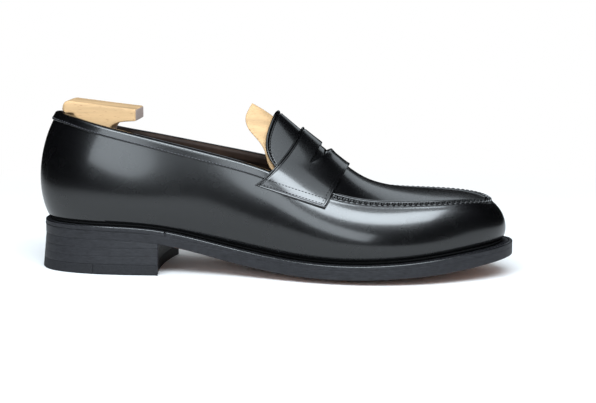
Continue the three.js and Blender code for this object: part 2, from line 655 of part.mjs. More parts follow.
add("tree_forepart", cut(
  forepartWhole,
  noseCut,
  ...bracketScrews.map((at) => screwHole(NOSE_REAR_X - 1, NOSE_REAR_X + SCREW.long, at)),
), COLOURS.beech);

// The bracket on the forepart's rear face, its pin, and the screws that hold it.
const plateBack = NOSE_REAR_X - GAP - PLATE_THICK;
const ear = (side) => {
  const y = side * (LUG_HALF + GAP + EAR_THICK / 2);
  const bar = box([LINK.pinX, y - EAR_THICK / 2, LINK.z - 5], [plateBack + 1, y + EAR_THICK / 2, LINK.z + 5]);
  return joined(bar, rodY(5, EAR_THICK / 2, LINK.pinX, LINK.z, y));
};
const bracketPlate = box([plateBack, -12.5, LINK.z - 8], [plateBack + PLATE_THICK, 12.5, LINK.z + 8]);
add("hinge_bracket", cut(
  joined(joined(bracketPlate, ear(-1)), ear(1)),
  rodY(PIN_RADIUS + GAP, 20, LINK.pinX, LINK.z),
  ...bracketScrews.map((at) => screwHole(plateBack - 1, NOSE_REAR_X + 1, at)),
), COLOURS.steel);
const pinHalf = LUG_HALF + GAP + EAR_THICK + GAP;
const pinHead = (side) => rodY(PIN_RADIUS + 1.2, 0.5, LINK.pinX, LINK.z, side * (pinHalf + 0.5));
add("hinge_pin", joined(
  joined(rodY(PIN_RADIUS, pinHalf + 0.4, LINK.pinX, LINK.z), pinHead(-1)), pinHead(1),
), COLOURS.steel);

// A screw along X: its head's seat at x = 0, its shank running to +X or, turned round, to -X.
function screw(direction) {
  const head = rodX(SCREW.head, -SCREW.headLong, 0, 0, 0, 12);
  const body = joined(head, rodX(SCREW.shank, -0.5, SCREW.long - 2, 0, 0, 12));
  return direction > 0 ? body : body.rotateZ(Math.PI);
}
bracketScrews.forEach(([y, z], i) => (
  add(`bracket_screw_${i + 1}`, screw(1), COLOURS.steel, [plateBack - GAP, y, z])));

// The link: a tube that turns on the pin, with a bush in its mouth.
const lug = joined(
  rodY(4.8, LUG_HALF, LINK.pinX, LINK.z),
  box([LINK.tubeFront - 2, -LUG_HALF, LINK.z - 4.4], [LINK.pinX, LUG_HALF, LINK.z + 4.4]),
);
add("link_tube", cut(
  joined(onLink(TUBE.outer, LINK.tubeBack, LINK.tubeFront), lug),
  onLink(TUBE.bore, LINK.tubeBack - 1, TUBE.wallEnd),
  rodY(PIN_RADIUS + GAP, 20, LINK.pinX, LINK.z),
), COLOURS.steel);
add("tube_bush", cut(
  onLink(TUBE.bore - GAP, LINK.tubeBack, LINK.tubeBack + 6),
  onLink(ROD.radius + GAP, LINK.tubeBack - 1, LINK.tubeBack + 7),
), COLOURS.brass);

// The sliding side: the rod and its piston, and the heel block they carry.
add("link_rod", joined(
  onLink(ROD.radius, ROD.back, ROD.headFront - 1), onLink(ROD.headRadius, ROD.headBack, ROD.headFront),
), COLOURS.steel);
const plateFar = LINK.plateX - PLATE_THICK;
add("heel_plate", cut(
  onLink(11.5, plateFar, LINK.plateX), onLink(ROD.radius + GAP, plateFar - 1, LINK.plateX + 1),
  ...heelScrews.map((at) => screwHole(plateFar - 1, LINK.plateX + 1, at)),
), COLOURS.steel);
heelScrews.forEach(([y, z], i) => (
  add(`heel_screw_${i + 1}`, screw(-1), COLOURS.steel, [LINK.plateX + GAP, y, z])));

// The spring pushes the heel block back against the shoe; seats is how far it stays off both ends.
const SPRING = { radius: 4.8, wire: 0.6, turns: 6, seats: 0.4 };
class Helix extends THREE.Curve {
  getPoint(t, target = new THREE.Vector3()) {
    const clear = SPRING.wire + SPRING.seats;
    const x = THREE.MathUtils.lerp(LINK.plateX + SCREW.headLong + clear, LINK.tubeBack - clear, t);
    const a = 2 * Math.PI * SPRING.turns * t;
    return target.set(x, SPRING.radius * Math.cos(a), LINK.z + SPRING.radius * Math.sin(a));
  }
}
const wireShape = new THREE.Shape().absarc(0, 0, SPRING.wire, 0, 2 * Math.PI);
add("link_spring", toGeometry(toSolid(new THREE.ExtrudeGeometry(wireShape, {
  steps: 14 * SPRING.turns, curveSegments: 4, bevelEnabled: false, extrudePath: new Helix(),
}))), COLOURS.steel);

// The heel block follows the inside of the shoe's heel, narrowed to pass through the mouth. Its side
// outline gives it a handle, hooked forward over a hollow for the finger.
const BLOCK_DEPTH = 6.4;
const HANDLE_FRONT_X = -87.5;
const CUT_OVER = 7.5; // how far a cut piece reaches past its cut
const BLOCK_REACH = 46; // how far round the heel from its back the block follows the wall
const blockHalf = column([
  [39, 13], [46, 15], [60, 15.5], [75, 14.8], [88, 13.6], [98, 12.6], [106, 11.4], [109, 10.2],
], 1);
const blockLevels = [39, 42, 47, 54, 64, 74, 84, 92, 98, 100.4, 101.4, 109];
const HANDLE_Z = 101; // above this the block is square behind and stands over the collar
const HANDLE_BACK_X = -136.5;
function blockRing(z) {
  const half = blockHalf(z);
  const rear = spread(BLOCK_REACH, -BLOCK_REACH, 18).map((s) => {
    const p = wallAt(s, solve((v) => wallAt(s, v, BLOCK_DEPTH).z - z, 0.1, 1), BLOCK_DEPTH);
    const y = THREE.MathUtils.clamp(p.y, -half, half);
    const round = HANDLE_BACK_X + 3 * (y / half) ** 4;
    return new THREE.Vector3(z > HANDLE_Z ? Math.min(p.x, round) : p.x, y, z);
  });
  const corner = (y) => new THREE.Vector3(HANDLE_FRONT_X + CUT_OVER, y, z);
  return [...rear, corner(half), corner(-half)];
}
const topOutline = [
  [-160, 100], [-136.2, 100], [-135, 104], [-133.4, 106.2], [-130.5, 106.8], [-109, 104.2],
  [HANDLE_FRONT_X, 101.8], [HANDLE_FRONT_X, 94.4],
];
const fingerOutline = new THREE.SplineCurve([
  [-92, 94.1], [-98, 93.4], [-103, 91], [-105.5, 86], [-103, 79], [LINK.blockFront, 72],
].map(([x, z]) => new THREE.Vector2(x, z))).getPoints(14).map((p) => [p.x, p.y]);
const blockSide = [...topOutline, ...fingerOutline, [LINK.blockFront, 42], [-98.5, 38], [-160, 38]];
add("tree_heel_block", cut(
  common(loft(blockLevels.map(blockRing)), sideExtrusion(blockSide, 30)),
  onLink(ROD.radius + GAP, ROD.back - 1, LINK.blockFront + 1),
  ...heelScrews.map((at) => screwHole(LINK.blockFront - SCREW.long + 2, LINK.blockFront + 1, at)),
), COLOURS.beech);

export default shoe;
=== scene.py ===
"""A black calf penny loafer with its wooden shoe tree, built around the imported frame."""

import math

import bmesh
import bpy
import numpy as np
from bpy.props import FloatProperty, FloatVectorProperty, PointerProperty
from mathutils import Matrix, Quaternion, Vector


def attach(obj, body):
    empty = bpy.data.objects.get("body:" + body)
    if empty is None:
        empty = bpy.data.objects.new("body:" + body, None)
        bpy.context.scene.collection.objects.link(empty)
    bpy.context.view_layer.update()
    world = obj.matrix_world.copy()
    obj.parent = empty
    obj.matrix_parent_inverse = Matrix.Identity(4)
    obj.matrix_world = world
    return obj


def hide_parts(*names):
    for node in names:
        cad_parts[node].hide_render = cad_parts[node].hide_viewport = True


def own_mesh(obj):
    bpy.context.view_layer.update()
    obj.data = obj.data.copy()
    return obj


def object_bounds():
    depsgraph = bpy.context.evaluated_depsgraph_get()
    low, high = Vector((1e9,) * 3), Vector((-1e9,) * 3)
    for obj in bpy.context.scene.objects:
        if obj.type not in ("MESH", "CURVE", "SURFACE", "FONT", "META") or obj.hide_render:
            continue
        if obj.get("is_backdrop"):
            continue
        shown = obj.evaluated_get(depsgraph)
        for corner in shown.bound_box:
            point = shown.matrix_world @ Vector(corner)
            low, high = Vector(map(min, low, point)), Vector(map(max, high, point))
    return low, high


bl_info = {
    "name": "Penny Loafer",
    "version": (1, 0, 0),
    "blender": (4, 5, 0),
    "location": "3D View > Sidebar > Loafer",
    "description": "Builds a welted penny loafer and its shoe tree, piece by piece",
    "category": "Add Mesh",
}

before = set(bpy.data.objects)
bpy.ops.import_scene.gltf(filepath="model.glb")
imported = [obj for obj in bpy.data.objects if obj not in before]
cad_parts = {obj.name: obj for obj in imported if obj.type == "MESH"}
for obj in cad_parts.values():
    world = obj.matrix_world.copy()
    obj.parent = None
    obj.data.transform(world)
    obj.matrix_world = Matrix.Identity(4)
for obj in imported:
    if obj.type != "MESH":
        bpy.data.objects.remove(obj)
CAD_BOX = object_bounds()
MM = 0.001

# ---- the shoe's curves, in millimetres, as in the part's own frame ----

# Round the shoe from the heel's back along the inner side: the sole's edge (x, y) and above it the
# upper's top line (x, y, z), which runs on as the apron seam.
STATIONS = np.array([
    [-149.2, 0, -140.5, 0, 98.6],
    [-141.5, -20, -133.5, -13, 98.4],
    [-120, -31, -118, -23, 95.0],
    [-78, -33.5, -85, -28.8, 87.4],
    [-40, -33, -48, -30.5, 78.9],
    [0, -41.5, -10, -32.5, 69.6],
    [35, -51, 17, -35.5, 60.4],
    [62, -53.5, 45, -37.5, 52.0],
    [95, -48, 75, -36, 48.8],
    [125, -33.5, 105, -28.5, 49.0],
    [142.5, -19, 126, -17, 48.4],
    [149.6, -2, 133.8, -2.5, 47.0],
    [145, 16.5, 127.5, 13, 48.2],
    [127, 33.5, 107, 26, 49.0],
    [98, 45, 78, 33, 48.9],
    [62, 52, 45, 37, 52.2],
    [30, 52.5, 17, 36.5, 60.3],
    [-5, 46, -10, 34.5, 67.4],
    [-40, 39, -48, 32.5, 74.7],
    [-78, 35.5, -85, 30, 81.8],
    [-120, 31.5, -118, 23, 89.6],
    [-141.5, 20, -133.5, 13, 96.2],
])
TOE_STATION = 11
WELT_TOP = [
    [-152, 31.0], [-107, 30.3], [-70, 28.0], [-43, 22.6], [-4, 15.4], [30, 12.3],
    [65, 12.4], [94, 14.4], [120, 17.4], [152, 21.6],
]
SPINE = [
    [-24, 115], [0, 101.7], [15, 89.6], [30, 77.8], [45, 65.9], [56, 58.7],
    [67, 54.7], [84, 52.1], [105, 50.8], [122, 49.5], [136, 46.4],
]
CREST = [[-24, 0.25], [5, 0.25], [30, 0.5], [60, 1.2], [100, 1.6], [136, 1.6]]
WALL = [
    [-152, 3.2, 10.5, 18, 13, 20],
    [-100, 2.8, 8, 16, 6, 22],
    [-40, 5, 9, 13, 3, 24],
    [20, 6, 9, 11, 6, 14],
    [75, 6.5, 7.5, 10, 9, 6],
    [120, 6.5, 6, 9, 8.5, 5],
    [152, 6.3, 4.8, 9, 9.5, 4.5],
]
GAP = 0.35
WELT_THICK = 3.0
OUTSOLE_THICK = 5.3
TREAD_CROWN = 3.3
INSOLE_THICK = 2.8
SOCK_THICK = 1.0
LEATHER = 1.4
STRAP_THICK = 1.5
STRAP_CLEAR = 0.55
BREAST_X = -70.2
BREAST_HOLLOW = 3.5
HEEL_FLARE = 2.2
LIFT_LEVELS = (6.4, 11.5, 16.6)
RUBBER_END_X = -112.0
STRAP = {
    "rear_top": 15.5, "front_top": 45.5, "rear_foot": -8.6, "front_foot": 35.3,
    "rear_foot_z": 58.6, "front_foot_z": 46.6,
}
STRAP_SHARE = 0.6
TREE_DEPTH = 4.7


def cubic(knots, values, period=0.0):
    """A smooth cubic through values at rising knots, repeating when a period is given."""
    knots, values = np.asarray(knots, float), np.asarray(values, float)
    n = len(knots)
    if period:
        t = np.concatenate([knots, [knots[0] + period]])
        y = np.concatenate([values, [values[0]]])
        h, slope = np.diff(t), np.diff(y) / np.diff(t)
        system, right = np.zeros((n, n)), np.zeros(n)
        for i in range(n):
            system[i, (i - 1) % n] += h[i - 1]
            system[i, i] += 2 * (h[i - 1] + h[i])
            system[i, (i + 1) % n] += h[i]
            right[i] = 6 * (slope[i] - slope[i - 1])
        bend = np.linalg.solve(system, right)
        bend = np.append(bend, bend[0])
    else:
        t, y = knots, values
        h, slope = np.diff(t), np.diff(y) / np.diff(t)
        system, right = np.eye(n), np.zeros(n)
        for i in range(1, n - 1):
            system[i, i - 1:i + 2] = h[i - 1], 2 * (h[i - 1] + h[i]), h[i]
            right[i] = 6 * (slope[i] - slope[i - 1])
        bend = np.linalg.solve(system, right)

    def value(x):
        x = np.asarray(x, float)
        if period:
            x = knots[0] + np.mod(x - knots[0], period)
        i = np.clip(np.searchsorted(t, x, side="right") - 1, 0, len(h) - 1)
        a = (t[i + 1] - x) / h[i]
        b = 1 - a
        arc = ((a**3 - a) * bend[i] + (b**3 - b) * bend[i + 1]) * h[i] ** 2 / 6
        return a * y[i] + b * y[i + 1] + arc

    return value


def column(table, k):
    return cubic([row[0] for row in table], [row[k] for row in table])


steps_between = np.hypot(*(np.roll(STATIONS, -1, 0) - STATIONS)[:, :2].T)
station_s = np.concatenate([[0], np.cumsum(steps_between)[:-1]])
ROUND = float(steps_between.sum())
edge_x, edge_y, top_x, top_y, top_z = (cubic(station_s, STATIONS[:, k], ROUND) for k in range(5))
TOE_S = float(station_s[TOE_STATION])
welt_top, spine, crest = column(WELT_TOP, 1), column(SPINE, 1), column(CREST, 1)
inset, foot_out, foot_up, top_out, top_down = (column(WALL, k) for k in range(1, 6))


def stack(*parts):
    return np.stack(np.broadcast_arrays(*parts), -1)


def smoothstep(x, low, high):
    t = np.clip((np.asarray(x, float) - low) / (high - low), 0, 1)
    return t * t * (3 - 2 * t)


def unit(v):
    return v / np.maximum(np.linalg.norm(v, axis=-1, keepdims=True), 1e-12)


def outward(s):
    """The sole edge's outward direction in plan."""
    dx = edge_x(s + 0.05) - edge_x(s - 0.05)
    dy = edge_y(s + 0.05) - edge_y(s - 0.05)
    return unit(stack(dy, -dx))


def edge(s, depth=0.0):
    """A point of the sole's edge, moved inwards by depth."""
    n = outward(s)
    return stack(edge_x(s) - n[..., 0] * depth, edge_y(s) - n[..., 1] * depth)


def wall(s, v):
    """The upper wall's outer face: v from the foot at the welt to the top line or seam."""
    s, v = np.broadcast_arrays(np.asarray(s, float), np.asarray(v, float))
    x, n = edge_x(s), outward(s)
    foot = edge(s, inset(x))
    low = stack(foot[..., 0], foot[..., 1], welt_top(x) + GAP)
    high = stack(top_x(s), top_y(s), top_z(s))
    reach_low, reach_high = foot_out(x), top_out(x)
    a = low + stack(n[..., 0] * reach_low, n[..., 1] * reach_low, foot_up(x))
    b = high + stack(n[..., 0] * reach_high, n[..., 1] * reach_high, -top_down(x))
    v = v[..., None]
    return (1 - v) ** 3 * low + 3 * v * (1 - v) ** 2 * a + 3 * v * v * (1 - v) * b + v**3 * high


seam_table_s = np.linspace(0, ROUND, 6001)
seam_table_x = top_x(seam_table_s)
inner_half = seam_table_s <= TOE_S
outer_half = seam_table_s >= TOE_S


def seam_s(x, side):
    """Where the top line or seam on the inner (-1) or outer (1) side crosses x."""
    if side < 0:
        return np.interp(x, seam_table_x[inner_half], seam_table_s[inner_half])
    return np.interp(x, seam_table_x[outer_half][::-1], seam_table_s[outer_half][::-1])


def seam_at(x, side):
    s = seam_s(x, side)
    return stack(top_x(s), top_y(s), top_z(s))


def instep(x, t):
    """The crowned face over the spine, t from -1 at the inner seam to 1 at the outer one."""
    x, t = np.broadcast_arrays(np.asarray(x, float), np.asarray(t, float))
    inner, outer = seam_at(x, -1), seam_at(x, 1)
    y = (inner[..., 1] + outer[..., 1]) / 2 + t * (outer[..., 1] - inner[..., 1]) / 2
    level = (inner[..., 2] + outer[..., 2]) / 2
    tilt = (outer[..., 2] - inner[..., 2]) / 2
    c = crest(x)
    drop = (np.hypot(t, c) - c) / (np.hypot(1, c) - c)
    return stack(x, y, spine(x) - (spine(x) - level) * drop + tilt * t)


def sunk(face, a, b, depth):
    """A face moved inwards along its own normal by depth."""
    h = 0.01
    across = face(a + h, b) - face(a - h, b)
    up = face(a, b + h * 0.1) - face(a, b - h * 0.1)
    normal = unit(np.cross(across, up))
    return face(a, b) - normal * np.asarray(depth, float)[..., None]


def wall_at(s, v, depth):
    return sunk(wall, np.asarray(s, float), np.asarray(v, float), depth)


def instep_at(x, t, depth):
    return sunk(instep, np.asarray(x, float), np.asarray(t, float), depth)


def wall_point(x, z, side, depth):
    """The wall's point at x and z on one side, found by Newton's method, and moved inwards."""
    s = seam_s(x, side) + 0.0
    v = np.full_like(s, 0.8)
    for _ in range(14):
        p = wall_at(s, v, depth)
        ds = (wall_at(s + 0.2, v, depth) - p) / 0.2
        dv = (wall_at(s, v + 0.002, depth) - p) / 0.002
        rx, rz = x - p[..., 0], z - p[..., 2]
        det = ds[..., 0] * dv[..., 2] - ds[..., 2] * dv[..., 0]
        s = s + np.clip((rx * dv[..., 2] - rz * dv[..., 0]) / det, -12, 12)
        v = np.clip(v + np.clip((ds[..., 0] * rz - ds[..., 2] * rx) / det, -0.2, 0.2), 0.02, 1.0)
    return wall_at(s, v, depth)


# ---- meshes ----


def make_object(name, points, faces, smooth=True):
    """A mesh object at the origin from points in millimetres."""
    mesh = bpy.data.meshes.new(name)
    mesh.from_pydata((np.asarray(points, float).reshape(-1, 3) * MM).tolist(), [], faces)
    mesh.validate()
    obj = bpy.data.objects.new(name, mesh)
    bpy.context.scene.collection.objects.link(obj)
    tidy(obj, smooth)
    return obj


MERGE_M = 2e-6
DEGENERATE_M = 1e-7


def tidy(obj, smooth):
    """Merges doubled points and turns the faces outwards."""
    work = bmesh.new()
    work.from_mesh(obj.data)
    bmesh.ops.remove_doubles(work, verts=work.verts, dist=MERGE_M)
    bmesh.ops.dissolve_degenerate(work, edges=work.edges, dist=DEGENERATE_M)
    bmesh.ops.recalc_face_normals(work, faces=work.faces)
    work.to_mesh(obj.data)
    work.free()
    if smooth:
        obj.data.shade_smooth()


def grid_faces(rows, columns, ring=False, wrap=False):
    """Quads over a grid of points; ring joins the last row to the first, wrap the last column."""
    i, j = np.meshgrid(
        np.arange(rows if ring else rows - 1), np.arange(columns if wrap else columns - 1), indexing="ij"
    )
    i2, j2 = (i + 1) % rows, (j + 1) % columns
    quads = np.stack([i * columns + j, i2 * columns + j, i2 * columns + j2, i * columns + j2], -1)
    return quads.reshape(-1, 4).tolist()


def tube_solid(name, sections):
    """A closed body through matching closed sections, capped at both ends."""
    rows, columns = sections.shape[:2]
    points = sections.reshape(-1, 3)
    faces = grid_faces(rows, columns, wrap=True)
    for row, turn in ((0, 1), (rows - 1, -1)):
        middle = len(points)
        points = np.vstack([points, sections[row].mean(0)])
        for j in range(columns):
            a, b = row * columns + j, row * columns + (j + 1) % columns
            faces.append([middle, a, b][::turn])
    return make_object(name, points, faces)


def grid_normals(points, ring=False):
    """Unit normals of a grid of points, from its own neighbours."""
    if ring:
        along = np.roll(points, -1, 0) - np.roll(points, 1, 0)
    else:
        along = np.gradient(points, axis=0)
    return unit(np.cross(along, np.gradient(points, axis=1)))


def rounded_drop(distance, radius):
    """How far a rounded edge of that radius lies below the face, at a distance from the edge."""
    d = np.clip(distance, 0, radius)
    return radius - np.sqrt(np.maximum(radius**2 - (radius - d) ** 2, 0))


def sheet_solid(name, face, normals, thick, distance, radius=0.5, ring=False, hole_rows=None):
    """A leather sheet: an outer face with its edges rounded off, an inner face and closed edges."""
    outer = face - normals * rounded_drop(distance, radius)[..., None]
    inner = face - normals * thick
    rows, columns = face.shape[:2]
    points = np.concatenate([outer.reshape(-1, 3), inner.reshape(-1, 3)])
    count = rows * columns
    faces = grid_faces(rows, columns, ring=ring)
    if hole_rows is not None:
        i, open_columns = hole_rows
        cells = {i * (columns - 1) + j for j in range(columns - 1)}
        faces = [f for k, f in enumerate(faces) if k not in cells]
    under = [[q + count for q in reversed(f)] for f in faces]
    sides = []

    def wall_strip(cells):
        for a, b in cells:
            sides.append([a, b, b + count, a + count])

    steps = range(rows if ring else rows - 1)
    wall_strip([(i * columns, (i + 1) % rows * columns) for i in steps])
    wall_strip([(i * columns + columns - 1, (i + 1) % rows * columns + columns - 1) for i in steps])
    if not ring:
        wall_strip([(j, j + 1) for j in range(columns - 1)])
        wall_strip([((rows - 1) * columns + j, (rows - 1) * columns + j + 1) for j in range(columns - 1)])
    if hole_rows is not None:
        for j in range(columns - 1):
            if open_columns[j] or open_columns[j + 1]:
                wall_strip([(i * columns + j, i * columns + j + 1)])
                wall_strip([((i + 1) * columns + j, (i + 1) * columns + j + 1)])
    return make_object(name, points, faces + under + sides)


def edge_lines(low, high, count, edge_width, edge_count):
    """Values from low to high, lying closer within edge_width of both ends."""
    near = low + edge_width * (1 - np.cos(np.linspace(0, math.pi / 2, edge_count + 1)))[:-1]
    far = high - edge_width * (1 - np.cos(np.linspace(0, math.pi / 2, edge_count + 1)))[:-1][::-1]
    return np.concatenate([near, np.linspace(low + edge_width, high - edge_width, count), far])


def arc_length(points, axis):
    step = np.linalg.norm(np.diff(points, axis=axis), axis=-1)
    zero = np.zeros_like(np.take(step, [0], axis))
    return np.concatenate([zero, np.cumsum(step, axis)], axis)


# ---- materials ----


def linear(hex_colour):
    """An sRGB hex colour as linear RGBA."""
    parts = [int(hex_colour[i:i + 2], 16) / 255 for i in (1, 3, 5)]
    return tuple(c / 12.92 if c <= 0.04045 else ((c + 0.055) / 1.055) ** 2.4 for c in parts) + (1.0,)


def node(tree, kind, settings=None, **inputs):
    """Adds a node: settings are its own properties; an input is a value, or a socket to link."""
    made = tree.nodes.new(kind)
    for key, value in (settings or {}).items():
        setattr(made, key, value)
    for key, value in inputs.items():
        numbered = key[0] == "i" and key[1:].isdigit()
        socket = made.inputs[int(key[1:]) if numbered else key.replace("_", " ")]
        if isinstance(value, bpy.types.NodeSocket):
            tree.links.new(value, socket)
        else:
            socket.default_value = value
    return made


def new_material(name, **constants):
    """A material with one principled shader, whose constant sockets are set here."""
    material = bpy.data.materials.new(name)
    material.use_nodes = True
    tree = material.node_tree
    shader = tree.nodes["Principled BSDF"]
    for key, value in constants.items():
        shader.inputs[key.replace("_", " ")].default_value = value
    return material, tree, shader


def ramp(tree, factor, stops):
    made = node(tree, "ShaderNodeValToRGB", Fac=factor)
    elements = made.color_ramp.elements
    while len(elements) < len(stops):
        elements.new(0.5)
    for element, (position, colour) in zip(elements, stops):
        element.position = position
        element.color = colour if isinstance(colour, tuple) else (colour, colour, colour, 1)
    return made.outputs["Color"]


def noise(tree, coords, size_mm, detail=3.0, rough=0.5):
    """Noise whose blobs are about size_mm across."""
    scale = 1 / (size_mm * MM)
    made = node(tree, "ShaderNodeTexNoise", Vector=coords, Scale=scale, Detail=detail, Roughness=rough)
    return made.outputs["Fac"]


def object_coords(tree, stretch=(1, 1, 1)):
    coords = node(tree, "ShaderNodeTexCoord").outputs["Object"]
    if stretch == (1, 1, 1):
        return coords
    return node(tree, "ShaderNodeMapping", Vector=coords, Scale=stretch).outputs["Vector"]


def bump(tree, shader, height, depth_mm, strength=1.0):
    made = node(tree, "ShaderNodeBump", Height=height, Distance=depth_mm * MM, Strength=strength)
    tree.links.new(made.outputs["Normal"], shader.inputs["Normal"])
    return made


def base_colour(tree, shader, pattern, stops):
    """Colours a surface by a pattern, through the ramp's stops."""
    tree.links.new(ramp(tree, pattern, stops), shader.inputs["Base Color"])


def roughness(tree, shader, pattern, least, most):
    """Lets a pattern vary the roughness between two values."""
    spread = node(tree, "ShaderNodeMapRange", Value=pattern, i3=least, i4=most)
    tree.links.new(spread.outputs["Result"], shader.inputs["Roughness"])


def polished_calf(colour):
    """Box calf, waxed and brushed: black with a soft shine, its pores filled but for a faint grain."""
    material, tree, shader = new_material(
        "polished_black_calf", IOR=1.58, Coat_Weight=0.8, Coat_Roughness=0.13, Coat_IOR=1.55)
    coords = object_coords(tree)
    cloud = noise(tree, coords, 26, 3)
    base_colour(tree, shader, cloud, [(0.3, shade(colour, 0.85)), (0.75, shade(colour, 1.7))])
    roughness(tree, shader, noise(tree, coords, 12, 4), 0.22, 0.31)
    pores = node(tree, "ShaderNodeTexVoronoi", {"feature": "F1"}, Vector=coords, Scale=1 / (0.55 * MM))
    grain = node(tree, "ShaderNodeMath", {"operation": "ADD"}, i0=pores.outputs["Distance"],
                 i1=noise(tree, coords, 1.6, 4))
    bump(tree, shader, grain.outputs["Value"], 0.016, 0.55)
    return material


def lining_leather(brown):
    """Unwaxed calf lining: matt dark brown, with fine wrinkles."""
    material, tree, shader = new_material("dark_lining_leather", IOR=1.45, Specular_IOR_Level=0.25)
    coords = object_coords(tree)
    colour = ramp(tree, noise(tree, coords, 9, 5), [(0.3, shade(brown, 0.65)), (0.7, shade(brown, 1.5))])
    tree.links.new(colour, shader.inputs["Base Color"])
    roughness(tree, shader, noise(tree, coords, 3), 0.5, 0.72)
    bump(tree, shader, noise(tree, coords, 0.9, 5), 0.06, 0.7)
    return material


def edge_leather(name, ink, rough, layers_mm):
    """Sole leather edge, inked and hot-waxed: near black, with the fibre layers showing as fine lines."""
    material, tree, shader = new_material(name, IOR=1.48, Specular_IOR_Level=0.4, Coat_Weight=0.15,
                                          Coat_Roughness=0.3)
    fibres = noise(tree, object_coords(tree, (0.12, 0.12, 1)), layers_mm, 4, 0.6)
    marks = noise(tree, object_coords(tree), 2.2, 4)
    mixed = node(tree, "ShaderNodeMath", {"operation": "MULTIPLY_ADD"}, i0=marks, i1=0.4, i2=fibres)
    colour = ramp(tree, mixed.outputs["Value"], [(0.45, shade(ink, 0.65)), (0.95, shade(ink, 2.4))])
    tree.links.new(colour, shader.inputs["Base Color"])
    roughness(tree, shader, marks, rough - 0.07, rough + 0.1)
    bump(tree, shader, mixed.outputs["Value"], 0.05, 0.5)
    return material


def tread_leather(oiled):
    """Oak-bark sole leather, oiled: red brown, lightly mottled with scratches along the sole."""
    material, tree, shader = new_material("oiled_tread_leather", IOR=1.48, Specular_IOR_Level=0.4)
    coords = object_coords(tree)
    colour = ramp(tree, noise(tree, coords, 14, 6), [(0.3, shade(oiled, 0.7)), (0.72, shade(oiled, 1.35))])
    scratches = noise(tree, object_coords(tree, (0.06, 1, 1)), 0.8, 3)
    mixed = node(tree, "ShaderNodeMix", {"data_type": "RGBA", "blend_type": "MULTIPLY"}, Factor=0.35)
    tree.links.new(colour, mixed.inputs[6])
    tree.links.new(ramp(tree, scratches, [(0.35, 0.55), (0.6, 1.0)]), mixed.inputs[7])
    tree.links.new(mixed.outputs[2], shader.inputs["Base Color"])
    roughness(tree, shader, scratches, 0.42, 0.6)
    bump(tree, shader, scratches, 0.05, 0.4)
    return material


def beech(wood):
    """Steamed beech, sanded and bare: pale pinkish tan, with short darker flecks along the grain."""
    material, tree, shader = new_material("sanded_beech", IOR=1.45, Specular_IOR_Level=0.3)
    along = object_coords(tree, (0.08, 1, 1))
    bands = noise(tree, object_coords(tree, (0.05, 1, 1)), 7, 4, 0.6)
    colour = ramp(tree, bands, [(0.3, shade(wood, 0.66)), (0.5, shade(wood, 0.9)), (0.7, shade(wood, 1.08))])
    flecks = node(tree, "ShaderNodeTexVoronoi", {"feature": "F1"}, Vector=object_coords(tree, (0.16, 1, 1)),
                  Scale=1 / (0.8 * MM))
    fleck = ramp(tree, flecks.outputs["Distance"], [(0.04, linear("#a56f3c")), (0.26, (1, 1, 1, 1))])
    mixed = node(tree, "ShaderNodeMix", {"data_type": "RGBA", "blend_type": "MULTIPLY"}, Factor=0.55)
    tree.links.new(colour, mixed.inputs[6])
    tree.links.new(fleck, mixed.inputs[7])
    facing = node(tree, "ShaderNodeSeparateXYZ", i0=node(tree, "ShaderNodeTexCoord").outputs["Normal"])
    end_grain = node(tree, "ShaderNodeMapRange", Value=facing.outputs["X"], i1=0.8, i2=0.95)
    pores = noise(tree, object_coords(tree), 0.5, 3)
    ends = node(tree, "ShaderNodeMix", {"data_type": "RGBA"}, Factor=end_grain.outputs["Result"])
    tree.links.new(mixed.outputs[2], ends.inputs[6])
    tree.links.new(ramp(tree, pores, [(0.35, linear("#a8948c")), (0.65, linear("#c9b8b0"))]), ends.inputs[7])
    tree.links.new(ends.outputs[2], shader.inputs["Base Color"])
    roughness(tree, shader, noise(tree, along, 1.5, 4), 0.42, 0.6)
    bump(tree, shader, noise(tree, along, 0.6, 4), 0.03, 0.5)
    return material


def plated_steel(grey):
    """Zinc-plated steel, drawn: grey metal with fine lines along the tube."""
    material, tree, shader = new_material("plated_steel", Metallic=1.0)
    lines = noise(tree, object_coords(tree, (0.05, 1, 1)), 0.5, 3)
    base_colour(tree, shader, lines, [(0.3, shade(grey, 0.7)), (0.7, shade(grey, 1.2))])
    roughness(tree, shader, lines, 0.22, 0.38)
    bump(tree, shader, lines, 0.01, 0.4)
    return material


def turned_brass(yellow):
    """Turned brass: warm yellow metal, slightly dulled."""
    material, tree, shader = new_material("turned_brass", Metallic=1.0)
    dull = noise(tree, object_coords(tree), 1.5, 4)
    base_colour(tree, shader, dull, [(0.3, shade(yellow, 0.7)), (0.7, shade(yellow, 1.2))])
    roughness(tree, shader, dull, 0.25, 0.45)
    bump(tree, shader, dull, 0.01, 0.3)
    return material


def fibre_piece(name, dark, light, size_mm, rough, depth_mm):
    """A fibrous, unpolished material, mottled: leather board, cork, rubber or waxed thread."""
    material, tree, shader = new_material(name, IOR=1.45, Specular_IOR_Level=0.25)
    coords = object_coords(tree)
    mottle = noise(tree, coords, size_mm, 6, 0.65)
    base_colour(tree, shader, mottle, [(0.3, linear(dark)), (0.7, linear(light))])
    roughness(tree, shader, mottle, rough - 0.08, rough + 0.08)
    bump(tree, shader, mottle, depth_mm, 0.6)
    return material


MATERIALS = {}


def shade(colour, gain):
    """A colour property made darker or lighter, as RGBA."""
    return tuple(min(1.0, c * gain) for c in colour) + (1.0,)


